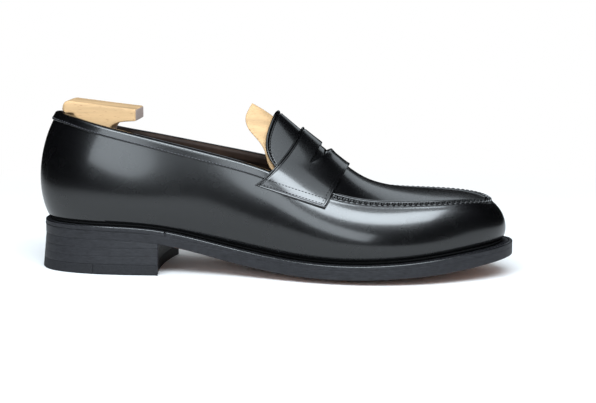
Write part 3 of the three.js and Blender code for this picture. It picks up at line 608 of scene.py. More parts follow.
def make_materials(colours):
    MATERIALS.update({
        "calf": polished_calf(colours.calf),
        "edge": edge_leather("waxed_sole_edge", colours.sole_edge, 0.42, 0.5),
        "heel_edge": edge_leather("brushed_heel_edge", colours.sole_edge, 0.5, 0.35),
        "tread": tread_leather(colours.tread),
        "lining": lining_leather(colours.lining),
        "beech": beech(colours.beech),
        "steel": plated_steel(colours.steel),
        "brass": turned_brass(colours.brass),
        "rubber": fibre_piece("moulded_heel_rubber", "#1b1b1d", "#2e2e31", 0.8, 0.55, 0.03),
        "board": fibre_piece("leather_board", "#a87a4e", "#c79a6b", 1.2, 0.8, 0.08),
        "cork": fibre_piece("pressed_cork", "#6d4a2c", "#a57a4e", 1.8, 0.85, 0.3),
        # painted shade: a near-black matt finish for the shadowed recess at the wall's foot
        "feather_painted_shade": fibre_piece("painted_shade_welt_seam", "#020203", "#050506", 0.9, 0.85, 0.05),
        "thread": fibre_piece("waxed_black_thread", "#060607", "#141416", 0.3, 0.5, 0.05),
        "pale_thread": fibre_piece("worn_grey_thread", "#3a3a3e", "#6c6c72", 0.3, 0.45, 0.05),
    })


def dress(obj, material, slot, body, *replaced):
    """Gives a finished piece its material, its body and the nodes it stands for; its slot is not used."""
    obj.data.materials.clear()
    obj.data.materials.append(MATERIALS[material])
    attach(obj, body)
    if replaced:
        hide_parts(*replaced)
    return obj


def dress_node(name, material):
    """Gives a CAD node that is shown as it is its material."""
    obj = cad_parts[name]
    obj.data.materials.clear()
    obj.data.materials.append(MATERIALS[material])


# ---- stitches, by geometry nodes ----


def stitch_tree():
    """Lays one rounded stitch per pitch along a path, lying along it and standing on its up vector."""
    tree = bpy.data.node_groups.new("stitch_row", "GeometryNodeTree")
    face = tree.interface
    face.new_socket("Geometry", in_out="INPUT", socket_type="NodeSocketGeometry")
    for label in ("Pitch", "Stitch Length", "Thread Diameter", "Slant"):
        face.new_socket(label, in_out="INPUT", socket_type="NodeSocketFloat")
    face.new_socket("Material", in_out="INPUT", socket_type="NodeSocketMaterial")
    face.new_socket("Geometry", in_out="OUTPUT", socket_type="NodeSocketGeometry")
    given = node(tree, "NodeGroupInput").outputs
    path = node(tree, "GeometryNodeMeshToCurve", Mesh=given["Geometry"])
    spaced = node(tree, "GeometryNodeResampleCurve", {"mode": "LENGTH"}, Curve=path.outputs["Curve"],
                  Length=given["Pitch"])
    up = node(tree, "GeometryNodeInputNamedAttribute", {"data_type": "FLOAT_VECTOR"}, Name="up")
    tangent = node(tree, "GeometryNodeInputTangent")
    turn = node(tree, "FunctionNodeAxesToRotation", {"primary_axis": "Z", "secondary_axis": "X"},
                i0=up.outputs["Attribute"], i1=tangent.outputs["Tangent"])
    slant_axis = node(tree, "ShaderNodeCombineXYZ", Z=given["Slant"])
    slanted = node(tree, "FunctionNodeRotateRotation", {"rotation_space": "LOCAL"},
                   i0=turn.outputs["Rotation"], i1=slant_axis.outputs["Vector"])
    size = node(tree, "ShaderNodeCombineXYZ", X=given["Stitch Length"], Y=given["Thread Diameter"],
                Z=given["Thread Diameter"])
    bead = node(tree, "GeometryNodeMeshUVSphere", Segments=8, Rings=5, Radius=0.5)
    placed = node(tree, "GeometryNodeInstanceOnPoints", Points=spaced.outputs["Curve"],
                  Instance=bead.outputs["Mesh"], Rotation=slanted.outputs["Rotation"],
                  Scale=size.outputs["Vector"])
    real = node(tree, "GeometryNodeRealizeInstances", Geometry=placed.outputs["Instances"])
    smooth = node(tree, "GeometryNodeSetShadeSmooth", Geometry=real.outputs["Geometry"])
    finish = node(tree, "GeometryNodeSetMaterial", Geometry=smooth.outputs["Geometry"],
                  Material=given["Material"])
    out = node(tree, "NodeGroupOutput")
    tree.links.new(finish.outputs["Geometry"], out.inputs[0])
    return tree


def stitch_row(name, rows, pitch, length, diameter, slant=0.0, slot="calf", finish="thread"):
    """One piece holding rows of stitches; each row is points and up vectors, in millimetres."""
    tree = bpy.data.node_groups.get("stitch_row") or stitch_tree()
    points = np.concatenate([p for p, _ in rows])
    ups = np.concatenate([u for _, u in rows])
    links, start = [], 0
    for p, _ in rows:
        links += [[start + i, start + i + 1] for i in range(len(p) - 1)]
        start += len(p)
    mesh = bpy.data.meshes.new(name + "_path")
    mesh.from_pydata((points * MM).tolist(), links, [])
    up_rows = mesh.attributes.new("up", "FLOAT_VECTOR", "POINT").data
    up_rows.foreach_set("vector", ups.astype(np.float32).ravel())
    source = bpy.data.objects.new(name + "_path", mesh)
    bpy.context.scene.collection.objects.link(source)
    modifier = source.modifiers.new("stitches", "NODES")
    modifier.node_group = tree
    sizes = {
        "Pitch": pitch * MM, "Stitch Length": length * MM, "Thread Diameter": diameter * MM, "Slant": slant,
        "Material": MATERIALS[finish],
    }
    for item in tree.interface.items_tree:
        if item.in_out == "INPUT" and item.name in sizes:
            modifier[item.identifier] = sizes[item.name]
    bpy.context.view_layer.update()
    graph = bpy.context.evaluated_depsgraph_get()
    mesh = bpy.data.meshes.new_from_object(source.evaluated_get(graph))
    mesh.name = name
    obj = bpy.data.objects.new(name, mesh)
    bpy.context.scene.collection.objects.link(obj)
    bpy.data.objects.remove(source)
    for attribute in [a.name for a in obj.data.attributes if a.name == "up"]:
        obj.data.attributes.remove(obj.data.attributes[attribute])
    return dress(obj, finish, slot, "shoe")


# ---- the pieces' shapes ----

WALL_S = (np.arange(560) / 560 - 0.3 * np.sin(4 * math.pi * np.arange(560) / 560) / (4 * math.pi)) * ROUND


def seam_weight(s):
    """1 along the apron seam, 0 along the top line behind the strap."""
    return smoothstep(top_x(s), 22, 34)


FEATHER_TUCK = 2.4 # how far the wall's foot is drawn in to the welt
FEATHER_HIGH = 3.4


def upper_wall_mesh():
    """The wall with a rounded foot, and a groove for the apron's hand stitching under the seam."""
    v = edge_lines(0.0, 1.0, 60, 0.09, 12)
    s_grid, v_grid = np.meshgrid(WALL_S, v, indexing="ij")
    face = wall(s_grid, v_grid)
    normals = grid_normals(face, ring=True)
    below = arc_length(face, 1)
    below = below[:, -1:] - below
    weight = seam_weight(s_grid)
    groove = 1.25 * np.exp(-((below - 1.6) / 0.9) ** 2) - 0.18 * np.exp(-((below - 3.6) / 0.9) ** 2)
    above = arc_length(face, 1)
    tuck = FEATHER_TUCK * np.clip(1 - above / FEATHER_HIGH, 0, 1) ** 2
    inward = outward(s_grid)
    face = face - stack(inward[..., 0] * tuck, inward[..., 1] * tuck, 0 * tuck)
    face = face - normals * (weight * groove)[..., None]
    distance = np.minimum(below, arc_length(face, 1) + 0.2)
    return sheet_solid("upper_wall_leather", face, normals, LEATHER, distance, 0.6, ring=True)


def lasting_margin_mesh():
    """The margin of the wall's leather, turned in under the insole."""
    across = np.linspace(-0.3, 9.0, 8)
    s_grid, d_grid = np.meshgrid(WALL_S[::2], across, indexing="ij")
    spot = edge(s_grid, inset(edge_x(s_grid)) + d_grid)
    face = stack(spot[..., 0], spot[..., 1], welt_top(spot[..., 0]) + GAP + LEATHER)
    return sheet_solid("lasted_margin", face, stack(0.0 * s_grid, 0.0 * s_grid, 1.0 + 0.0 * s_grid), LEATHER,
                       9 + 0 * d_grid, 0.2, ring=True)


def wall_layer_mesh(name, s0, s1, low, top, near, far):
    """A layer inside the wall, between two depths below its outer face."""
    s = np.linspace(s0, s1, 260)
    share = np.linspace(0, 1, 40)
    s_grid, k = np.meshgrid(s, share, indexing="ij")
    v_grid = low + (top(s_grid) - low) * k
    face = wall_at(s_grid, v_grid, near)
    return sheet_solid(name, face, grid_normals(face), far - near, 9 + 0 * k, 0.2)


def instep_sheet(name, x_rows, shares, thick, depth, lift_edge=0.0, rear_bead=0.0):
    """A sheet over the instep from a grid of x and cross positions, its free edges rounded."""
    face = instep_at(x_rows, shares, depth)
    normals = grid_normals(face)
    normals = normals * np.sign(normals[..., 2:3] + 1e-9)
    along, across = arc_length(face, 0), arc_length(face, 1)
    side = np.minimum(across, across[:, -1:] - across)
    end = np.minimum(along, along[-1:, :] - along)
    distance = np.minimum(side, end)
    lip = lift_edge * np.exp(-((side - 0.9) / 1.1) ** 2)
    if rear_bead:
        rim = np.minimum(along, 99)
        lip = rear_bead * (np.exp(-((rim - 1.0) / 0.9) ** 2) - 1.3 * np.exp(-((rim - 2.7) / 0.55) ** 2))
    face = face + normals * lip[..., None]
    return sheet_solid(name, face, normals, thick, distance, 0.55), face, normals


APRON_BACK_X = 32.0
APRON_FRONT_X = 132.2


def half_width(x):
    return (seam_at(x, 1)[..., 1] - seam_at(x, -1)[..., 1]) / 2


def apron_mesh():
    """The apron, its edge raised in a rolled lip that stands over the stitched groove."""
    x = APRON_BACK_X + (APRON_FRONT_X - APRON_BACK_X) * np.sin(np.linspace(0, math.pi / 2, 190))
    w = edge_lines(-1, 1, 90, 0.14, 16)
    x_grid, w_grid = np.meshgrid(x, w, indexing="ij")
    shares = w_grid * (1 - 0.35 / half_width(x_grid))
    obj, _, _ = instep_sheet("apron_leather", x_grid, shares, LEATHER, 0.0, lift_edge=0.55)
    return obj


TONGUE_PEAK_X = 1.0
TONGUE_FRONT_X = APRON_BACK_X - GAP
TONGUE_HALF = 0.9


def tongue_back(w):
    return TONGUE_PEAK_X - 9.5 * np.abs(w) ** 1.2 + 11.5 * np.abs(w) ** 6


def tongue_grid(shrink=0.0):
    u = np.concatenate([np.linspace(0, 0.16, 26)[:-1], np.linspace(0.16, 1, 70)])
    w = edge_lines(-1, 1, 90, 0.08, 12)
    u_grid, w_grid = np.meshgrid(u, w, indexing="ij")
    back = tongue_back(w_grid) + shrink
    return back + (TONGUE_FRONT_X - back) * u_grid, w_grid * (TONGUE_HALF - 0.01 * shrink)


def strap_surface(rows, columns, depth):
    """Points over the strap: rows from its rear edge (0) to its front (1), columns from foot to foot."""
    rows = np.asarray(rows, float)
    top = STRAP["rear_top"] + (STRAP["front_top"] - STRAP["rear_top"]) * rows
    foot = STRAP["rear_foot"] + (STRAP["front_foot"] - STRAP["rear_foot"]) * rows
    foot_z = STRAP["rear_foot_z"] + (STRAP["front_foot_z"] - STRAP["rear_foot_z"]) * rows

    def wing(side, share):
        seam = seam_at(top + (foot - top) * STRAP_SHARE, side)[..., 2]
        x = top + (foot - top) * (STRAP_SHARE + (1 - STRAP_SHARE) * share)
        return wall_point(x, seam + (foot_z - seam) * share, side, depth + 0 * x)

    over = [instep_at(top + (foot - top) * STRAP_SHARE * t * t, t + 0 * top, depth)
            for t in (-0.97, -0.7, -0.35, 0, 0.35, 0.7, 0.97)]
    lines = np.stack([wing(-1, 1), wing(-1, 0.5), *over, wing(1, 0.5), wing(1, 1)], 1)
    out = np.empty((len(rows), len(columns), 3))
    for i, line in enumerate(lines):
        knots = np.concatenate([[0], np.cumsum(np.linalg.norm(np.diff(line, axis=0), axis=1))])
        for axis in range(3):
            out[i, :, axis] = cubic(knots, line[:, axis])(np.asarray(columns) * knots[-1])
    return out


SLOT_ROW = 0.42
SLOT_HALF = 0.235 # half the slot's length, as a share of the strap's
SLOT_OPEN = 0.175 # how far its front edge bows forward, as a share of the strap's width


def strap_grid():
    """Row and column positions of the strap's grid, parted at the coin slot."""
    columns = edge_lines(0, 1, 300, 0.012, 8)
    rear = np.concatenate([edge_lines(0, 1, 34, 0.06, 9)])
    u = np.clip((columns - 0.5) / SLOT_HALF, -1, 1)
    front_edge = SLOT_ROW + SLOT_OPEN * (1 - u * u) ** 0.85
    rear_rows = rear[:, None] * (SLOT_ROW + 0 * columns)
    front_rows = front_edge + rear[:, None] * (1 - front_edge)
    return np.concatenate([rear_rows, front_rows]), columns, len(rear) - 1, np.abs(u) < 0.999


def strap_points(row_grid, columns, depth):
    """The strap's surface at a grid of row positions that differ along each column."""
    lines = np.linspace(0, 1, 61)
    base = strap_surface(lines, columns, depth)
    out = np.empty(row_grid.shape + (3,))
    for j in range(len(columns)):
        for axis in range(3):
            out[:, j, axis] = cubic(lines, base[:, j, axis])(row_grid[:, j])
    return out


def strap_mesh():
    """The saddle strap, with rounded edges, a crease inside them and the parted coin slot."""
    row_grid, columns, parting, is_open = strap_grid()
    face = strap_points(row_grid, columns, -STRAP_CLEAR - STRAP_THICK)
    plain = strap_surface(np.linspace(0, 1, 61), columns, -STRAP_CLEAR - STRAP_THICK)
    normals_plain = grid_normals(plain)
    normals = np.empty_like(face)
    lines = np.linspace(0, 1, 61)
    for j in range(len(columns)):
        for axis in range(3):
            normals[:, j, axis] = np.interp(row_grid[:, j], lines, normals_plain[:, j, axis])
    normals = unit(normals)
    normals = normals * np.sign(normals[..., 2:3] + 1e-9)
    width = np.linalg.norm(np.diff(plain, axis=0), axis=-1).sum(0)
    length = np.linalg.norm(np.diff(plain, axis=1), axis=-1).sum(1).mean()
    ends = np.minimum(columns, 1 - columns) * length
    rims = np.minimum(row_grid, 1 - row_grid) * width
    slot_gap = np.where(is_open, np.minimum(
        np.abs(row_grid - row_grid[parting]), np.abs(row_grid - row_grid[parting + 1])) * width, 9.0)
    outline = np.minimum(rims, ends)
    from_rear = row_grid * width
    crease = 0.45 * np.exp(-((from_rear - 1.9) / 0.42) ** 2) + 0.12 * np.exp(-((ends - 1.0) / 0.3) ** 2)
    bead = 0.25 * np.exp(-((from_rear - 0.7) / 0.5) ** 2)
    bead = bead + 0.2 * np.exp(-((width - from_rear - 0.8) / 0.7) ** 2)
    middle = np.clip(1 - ((columns - 0.5) / SLOT_HALF) ** 2, 0, 1)
    lip = 0.6 * np.exp(-((row_grid - row_grid[parting + 1]) * width / 3.0) ** 2) * middle
    lip = lip * (np.arange(len(row_grid)) > parting)[:, None]
    face = face + normals * (bead - crease + lip)[..., None]
    distance = np.minimum(outline, slot_gap)
    return sheet_solid("saddle_strap_leather", face, normals, STRAP_THICK, distance, 0.55,
                       hole_rows=(parting, is_open))


BINDING_OUT = 5.7
BINDING_IN = 5.0


def binding_mesh():
    """The top line's folded binding: a rolled edge with a flat fall on both sides."""
    first = float(seam_s(6.0, 1)) - ROUND
    last = float(seam_s(6.0, -1))
    s = np.linspace(first, last, 420)
    top = wall(s, 1.0 + 0 * s)
    down = unit(wall(s, 0.93 + 0 * s) - top)
    out = unit(wall_at(s, 1.0 + 0 * s, -1 + 0 * s) - top)
    outer, inner, grow = -GAP - 0.9, 4.05 + GAP + 0.9, 1.25
    middle, half = (outer + inner) / 2, (inner - outer) / 2
    profile = [(BINDING_OUT, outer + 0.75), (BINDING_OUT, outer + 0.35), (BINDING_OUT - 0.35, outer)]
    profile += [(a, outer) for a in np.linspace(BINDING_OUT - 1, 1.6, 6)]
    turn = np.linspace(0, math.pi, 15)
    profile += [(1.2 - (grow + 1.2) * math.sin(a), middle - half * math.cos(a)) for a in turn]
    profile += [(a, inner) for a in np.linspace(1.6, BINDING_IN - 0.3, 5)]
    profile += [(BINDING_IN, inner - 0.3), (BINDING_IN, inner - 0.7), (BINDING_IN - 0.4, inner - 0.9)]
    profile += [(a, inner - 0.9) for a in np.linspace(BINDING_IN - 1, 0.9, 4)]
    profile += [(0.0, middle + 1.6), (-0.3, middle), (0.0, middle - 1.6)]
    profile += [(a, outer + 0.9) for a in np.linspace(0.9, BINDING_OUT - 0.6, 4)]
    sections = np.stack([top + down * a - out * d for a, d in profile], 1)
    return tube_solid("rolled_collar_binding", sections)


SLAB_RINGS = 16 # between a slab's middle and its rim
ROUNDING = np.linspace(0, math.pi / 2, 5) # the angles of a quarter-round edge
SLAB_CORE = 12 # how far inside its ends a slab's middle line stops


def slab_mesh(name, outline, lower, over, under, ease_over, ease_under, side_rows=4):
    """A flat-lying slab: its outlines above and below, heights over and under it, and eased edges."""
    outline = np.asarray(outline)
    lower = outline if lower is None else np.asarray(lower)
    centre_x = np.clip(outline[:, 0], outline[:, 0].min() + SLAB_CORE, outline[:, 0].max() - SLAB_CORE)
    inner_side = outline[:, 1] < outline[:, 1].mean()
    low = outline[inner_side][np.argsort(outline[inner_side][:, 0])]
    high = outline[~inner_side][np.argsort(outline[~inner_side][:, 0])]
    centre_y = (np.interp(centre_x, low[:, 0], low[:, 1]) + np.interp(centre_x, high[:, 0], high[:, 1])) / 2
    centre = stack(centre_x, centre_y)
    tangent = np.roll(outline, -1, 0) - np.roll(outline, 1, 0)
    normal = unit(stack(tangent[:, 1], -tangent[:, 0]))
    area = np.sum(outline[:, 0] * np.roll(outline[:, 1], -1) - np.roll(outline[:, 0], -1) * outline[:, 1])
    normal = normal * np.sign(area)

    def ring(depth, height, from_over, share=1.0):
        spot = centre + ((outline if from_over else lower) - normal * depth - centre) * share
        z = (over if from_over else under)(spot[:, 0], spot[:, 1])
        return stack(spot[:, 0], spot[:, 1], z + height)

    sections = [ring(ease_under, 0, False, k) for k in np.linspace(0.0, 1, SLAB_RINGS)]
    sections += [ring(ease_under * (1 - math.sin(a)), ease_under * (1 - math.cos(a)), False)
                 for a in ROUNDING[1:]]
    bottom, top = sections[-1], ring(0, -ease_over, True)
    sections += [bottom + (top - bottom) * k for k in np.linspace(0, 1, side_rows + 1)[1:-1]]
    sections += [ring(ease_over * (1 - math.cos(a)), -ease_over * (1 - math.sin(a)), True) for a in ROUNDING]
    sections += [ring(ease_over, 0, True, k) for k in np.linspace(1, 0.0, SLAB_RINGS)[1:]]
    points = np.stack(sections, 0)
    return make_object(name, points, grid_faces(*points.shape[:2], wrap=True))


def sole_outline(depth=0.0, count=480):
    return edge(np.arange(count) / count * ROUND, depth)


RIM_POINTS = 220


def sole_part(depth, back_x, front_x, hollow):
    """The outline of the sole's stretch ahead of back_x, or from its rear end with None, up to front_x."""
    table_s = np.linspace(0, ROUND, 4001)
    x = edge(table_s, depth)[:, 0]
    half = len(table_s) * TOE_S / ROUND
    index = np.arange(len(table_s))

    def crossing(at, side):
        pick = (index < half) if side < 0 else (index > half)
        values, where = x[pick], table_s[pick]
        rank = np.argsort(values)
        return float(np.interp(at, values[rank], where[rank]))

    def cross_line(start, end, bow):
        a, b = edge(np.array([start, end]), depth)
        k = np.linspace(0, 1, 40)[1:-1]
        line = a + (b - a) * k[:, None]
        line[:, 0] -= bow * (1 - (2 * k - 1) ** 2)
        return line

    if back_x is None:
        s0, s1 = crossing(front_x, 1) - ROUND, crossing(front_x, -1)
        rim = edge(np.linspace(s0, s1, RIM_POINTS), depth)
        return np.vstack([rim, cross_line(s1, s0, hollow)])
    a, b = crossing(back_x, -1), crossing(front_x, -1)
    c, d = crossing(front_x, 1), crossing(back_x, 1)
    near = edge(np.linspace(a, b, RIM_POINTS // 2), depth)
    far = edge(np.linspace(c, d, RIM_POINTS // 2), depth)
    return np.vstack([near, cross_line(b, c, hollow), far, cross_line(d, a, 0)])


def outsole_over(x, y=0.0):
    return welt_top(x) - WELT_THICK - 0.03


def outsole_under(x, y=0.0):
    return welt_top(x) - WELT_THICK - GAP - OUTSOLE_THICK


def crowned_under(x, y):
    half = 52 - 18 * smoothstep(-np.asarray(x), -40, 60)
    share = 1 - np.clip(np.abs(y) / half, 0, 1) ** 2
    swell = smoothstep(x, BREAST_X, -12) * (1 - smoothstep(x, 85, 150))
    return outsole_under(x) - (TREAD_CROWN - 0.1) * share * swell


def footbed(x, y=0.0):
    return welt_top(x) + 2 * GAP + LEATHER


def insole_over(x, y=0.0):
    return footbed(x) + INSOLE_THICK


STRIP_TOP_EASE = 0.7
STRIP_FOOT_EASE = 0.1


def strip_mesh(name, s0, s1, count, width, thick):
    """A strip along the sole's edge: rounded at its outer corners."""
    s = np.linspace(s0, s1, count)
    top, foot = STRIP_TOP_EASE, STRIP_FOOT_EASE
    profile = [(width, 0.0)]
    profile += [(top * (1 - math.sin(a)), top * (math.cos(a) - 1)) for a in ROUNDING]
    profile += [(foot * (1 - math.cos(a)), -thick + foot * (1 - math.sin(a))) for a in ROUNDING]
    profile += [(width, -thick)]
    sections = []
    for depth, height in profile:
        spot = edge(s, depth)
        sections.append(stack(spot[:, 0], spot[:, 1], welt_top(spot[:, 0]) + height))
    return tube_solid(name, np.stack(sections, 1))


# ---- the shoe tree and the link ----


def forepart_sections():
    """The forepart's cross sections, a little inside the linings, from under the tongue to the toe."""
    x = np.linspace(-24, 124, 76)
    floor = insole_over(x) + 1.2
    seam = {side: seam_at(np.maximum(x, -24), side)[..., 2] for side in (-1, 1)}

    def flank(side, share):
        return wall_point(x, floor + (seam[side] - floor) * share, side, TREE_DEPTH + 0 * x)

    line = [flank(-1, k) for k in (0.02, 0.3, 0.62)]
    line += [instep_at(x, t + 0 * x, TREE_DEPTH + 0 * x) for t in (-0.86, -0.6, -0.3, 0, 0.3, 0.6, 0.86)]
    line += [flank(1, k) for k in (0.62, 0.3, 0.02)]
    line = np.stack(line, 1)
    out = np.empty((len(x), 90, 3))
    for i, section in enumerate(line):
        knots = np.concatenate([[0], np.cumsum(np.linalg.norm(np.diff(section, axis=0), axis=1))])
        for axis in range(3):
            out[i, :, axis] = cubic(knots, section[:, axis])(np.linspace(0, knots[-1], 90))
    return out


def smooth_line(points, count):
    """A smooth open line through points."""
    points = np.asarray(points, float)
    knots = np.concatenate([[0], np.cumsum(np.linalg.norm(np.diff(points, axis=0), axis=1))])
    at = np.linspace(0, knots[-1], count)
    return np.stack([cubic(knots, points[:, k])(at) for k in range(points.shape[1])], -1)


def side_block(name, outline, half):
    """A side outline (x, z) carried across y."""
    outline = np.asarray(outline, float)
    near = stack(outline[:, 0], -half, outline[:, 1])
    far = stack(outline[:, 0], half, outline[:, 1])
    return tube_solid(name, np.stack([near, far]))


def plan_block(name, outline, low, high):
    outline = np.asarray(outline, float)
    return tube_solid(name, np.stack([stack(outline[:, 0], outline[:, 1], low),
                                      stack(outline[:, 0], outline[:, 1], high)]))


ROD_SIDES = 48


def rod(name, radius, x0, x1, y, z):
    angle = np.arange(ROD_SIDES) / ROD_SIDES * 2 * math.pi
    ring = [stack(x, y + radius * np.cos(angle), z + radius * np.sin(angle)) for x in (x0, x1)]
    return tube_solid(name, np.stack(ring))


def carve(obj, tool, operation):
    """Applies a boolean with a tool, which is used up."""
    modifier = obj.modifiers.new("carve", "BOOLEAN")
    modifier.operation, modifier.solver, modifier.object = operation, "EXACT", tool
    settle(obj)
    bpy.data.objects.remove(tool)


def settle(obj):
    """Turns an object's modifiers into plain mesh."""
    bpy.context.view_layer.update()
    graph = bpy.context.evaluated_depsgraph_get()
    mesh = bpy.data.meshes.new_from_object(obj.evaluated_get(graph))
    obj.modifiers.clear()
    old = obj.data
    obj.data = mesh
    mesh.name = obj.name
    bpy.data.meshes.remove(old)


SANDING = 0.5 # how far each round of smoothing goes


def sand(obj, voxel_mm, rounds):
    """Remeshes a carved block evenly and rounds its edges as sanding does."""
    remesh = obj.modifiers.new("remesh", "REMESH")
    remesh.mode, remesh.voxel_size, remesh.use_smooth_shade = "VOXEL", voxel_mm * MM, True
    smooth = obj.modifiers.new("sand", "SMOOTH")
    smooth.factor, smooth.iterations = SANDING, rounds
    settle(obj)


NOSE_SIDE = [
    [-14.5, 110], [-16, 104], [-18.5, 97.5], [-16.5, 91], [-10.5, 84.5], [-5, 77.5], [-2.5, 71], [1, 66],
    [10, 63.6],
]
NOSE_REAR_X = 10
NOSE_TIP, NOSE_FULL, NOSE_HALF = -19.5, 5, 31
LINK_Z = 54
BLOCK_FRONT_X = -96
BLOCK_DEPTH = 6.4
BLOCK_REACH = 46
HANDLE_BACK_X = -136.5
BLOCK_HALF = [[39, 13], [46, 15], [60, 15.5], [75, 14.8], [88, 13.6], [98, 12.6], [106, 11.4], [109, 10.2]]


def tree_forepart_mesh(voxel_mm):
    body = tube_solid("tree_forepart_beech", forepart_sections())
    nose = smooth_line(NOSE_SIDE, 60)
    rear = np.vstack([nose, [[NOSE_REAR_X, 10], [-60, 10], [-60, 110]]])
    carve(body, side_block("nose", rear, 60), "DIFFERENCE")
    x = NOSE_TIP + (NOSE_FULL - NOSE_TIP) * (1 - np.cos(np.linspace(0, math.pi, 40))) / 2
    half = NOSE_HALF * np.sqrt(1 - np.clip((NOSE_FULL - x) / (NOSE_FULL - NOSE_TIP), 0, 1) ** 2)
    wide = [[40, -60], [140, -60], [140, 60], [40, 60]]
    plan = np.vstack([stack(x, -half), wide, stack(x, half)[1:][::-1]])
    carve(body, plan_block("plan", plan, 0, 140), "INTERSECT")
    sand(body, voxel_mm, 5)
    return body


def tree_heel_block_mesh(voxel_mm):
    z = np.linspace(36, 109, 147)
    half = column(BLOCK_HALF, 1)(z)
    s = np.linspace(BLOCK_REACH, -BLOCK_REACH, 72)
    table_v = np.linspace(0.05, 1, 240)
    s_grid, v_grid = np.meshgrid(s, table_v, indexing="ij")
    face = wall_at(s_grid, v_grid, BLOCK_DEPTH + 0 * s_grid)
    rear = np.empty((len(z), len(s), 3))
    for j in range(len(s)):
        for axis in range(3):
            rear[:, j, axis] = np.interp(z, face[j, :, 2], face[j, :, axis])
        rear[:, j, 2] = z
    rear[..., 1] = np.clip(rear[..., 1], -half[:, None], half[:, None])
    square = HANDLE_BACK_X + 3 * (rear[..., 1] / half[:, None]) ** 4
    clear = smoothstep(z[:, None], top_z(s) + 1.2, top_z(s) + 1.9)
    rear[..., 0] += (np.minimum(rear[..., 0], square) - rear[..., 0]) * clear
    front = np.stack([stack(-80.0, half, z), stack(-80.0, -half, z)], 1)
    body = tube_solid("tree_heel_block_beech", np.concatenate([rear, front], 1))
    top = [[-160, 100], [-136.2, 100], [-135, 104], [-133.4, 106.2], [-130.5, 106.8], [-109, 104.2],
           [-87.5, 101.8], [-87.5, 94.4]]
    finger = [[-92, 94.1], [-98, 93.4], [-103, 91], [-105.5, 86], [-103, 79], [BLOCK_FRONT_X, 72]]
    finger = smooth_line(finger, 40)
    outline = np.vstack([top, finger, [[BLOCK_FRONT_X, 42], [-98.5, 38], [-160, 38]]])
    carve(body, side_block("outline", outline, 30), "INTERSECT")
    carve(body, rod("bore", 3.35, -113, -95, 0, LINK_Z), "DIFFERENCE")
    sand(body, voxel_mm, 4)
    return body


def heel_depth(z):
    """How far the heel's side stands in from the sole's edge at a height; it flares to the floor."""
    return 0.2 - HEEL_FLARE * (1 - z / 22)


def heel_slab(name, under_z, over, front_x, finish, node_name, slot="edge_leather", hollow=BREAST_HOLLOW):
    """A heel lift between a flat underside and the face over it."""
    top_z = float(over(np.array([-110.0]), np.array([0.0]))[0])
    upper, lower = (sole_part(heel_depth(z), None, front_x, hollow) for z in (top_z, under_z))
    slab = slab_mesh(name, upper, lower, over, level(under_z), 0.08, 0.08 if under_z else 0.5)
    return dress(slab, finish, slot, "shoe", node_name)


def second_finish(obj, finish, chosen):
    """Gives the faces whose normals are chosen another material."""
    obj.data.materials.append(MATERIALS[finish])
    count = len(obj.data.polygons)
    normals, centres = np.empty(count * 3), np.empty(count * 3)
    obj.data.polygons.foreach_get("normal", normals)
    obj.data.polygons.foreach_get("center", centres)
    picked = chosen(normals.reshape(-1, 3), centres.reshape(-1, 3) / MM)
    obj.data.polygons.foreach_set("material_index", picked.astype(np.int32))


def glancing(normals, _centres):
    """The eased rim between a strip's top and its side, which the waxing iron polishes."""
    return (normals[:, 2] > 0.25) & (normals[:, 2] < 0.97)


def underfoot(normals, centres):
    """The tread: faces that look down and lie at the outsole's underside."""
    return (normals[:, 2] < -0.8) & (centres[:, 2] < outsole_under(centres[:, 0]) + 0.04)


def level(z):
    """A flat face at one height."""
    return lambda x, y=0: z + 0 * x


def seam_edge_s(x, side):
    """Where the sole's edge on the inner (-1) or outer (1) side crosses x."""
    table = np.linspace(0, ROUND, 6001)
    pick = (table <= TOE_S) if side < 0 else (table >= TOE_S)
    along, where = edge_x(table[pick]), table[pick]
    rank = np.argsort(along)
    return np.interp(x, along[rank], where[rank])


def faces_inside(normals, centres):
    """True for the faces that look into the shoe."""
    axis = stack(np.clip(centres[:, 0], -112, 0), 0 * centres[:, 0], centres[:, 2])
    return np.sum(normals * unit(centres - axis), -1) < -0.45


# ---- the sewing ----


def wall_row(s, below, lift):
    """Points on the wall a distance below its top, raised by lift, and their normals."""
    top, lower = wall(s, 1.0 + 0 * s), wall(s, 0.9 + 0 * s)
    v = 1 - 0.1 * below / np.linalg.norm(top - lower, axis=-1)
    base = wall_at(s, v, 0 * s)
    out = unit(wall_at(s, v, -1 + 0 * s) - base)
    return base + out * lift, out


def collar_row(s, along, lift):
    """Points on the binding's outer fall, a distance under its top, and their normals."""
    top = wall(s, 1.0 + 0 * s)
    down = unit(wall(s, 0.93 + 0 * s) - top)
    out = unit(wall_at(s, 1.0 + 0 * s, -1 + 0 * s) - top)
    return top + down * along + out * (GAP + 0.9 + lift), out


def strap_row(sheet, rows, columns, lift):
    """Points along a path on the strap's face, given as row and column positions, and their normals."""
    face, normals = sheet
    i = np.clip(np.asarray(rows, float), 0, 0.9999) * (face.shape[0] - 1)
    j = np.clip(np.asarray(columns, float), 0, 0.9999) * (face.shape[1] - 1)
    i0, j0 = i.astype(int), j.astype(int)
    a, b = (i - i0)[:, None], (j - j0)[:, None]

    def at(grid):
        return ((grid[i0, j0] * (1 - b) + grid[i0, j0 + 1] * b) * (1 - a)
                + (grid[i0 + 1, j0] * (1 - b) + grid[i0 + 1, j0 + 1] * b) * a)

    up = unit(at(normals))
    return at(face) + up * lift, up


SEAM_BACK_X = 33.5
SEAM_LINE = 1.55 # the row of holes below the seam


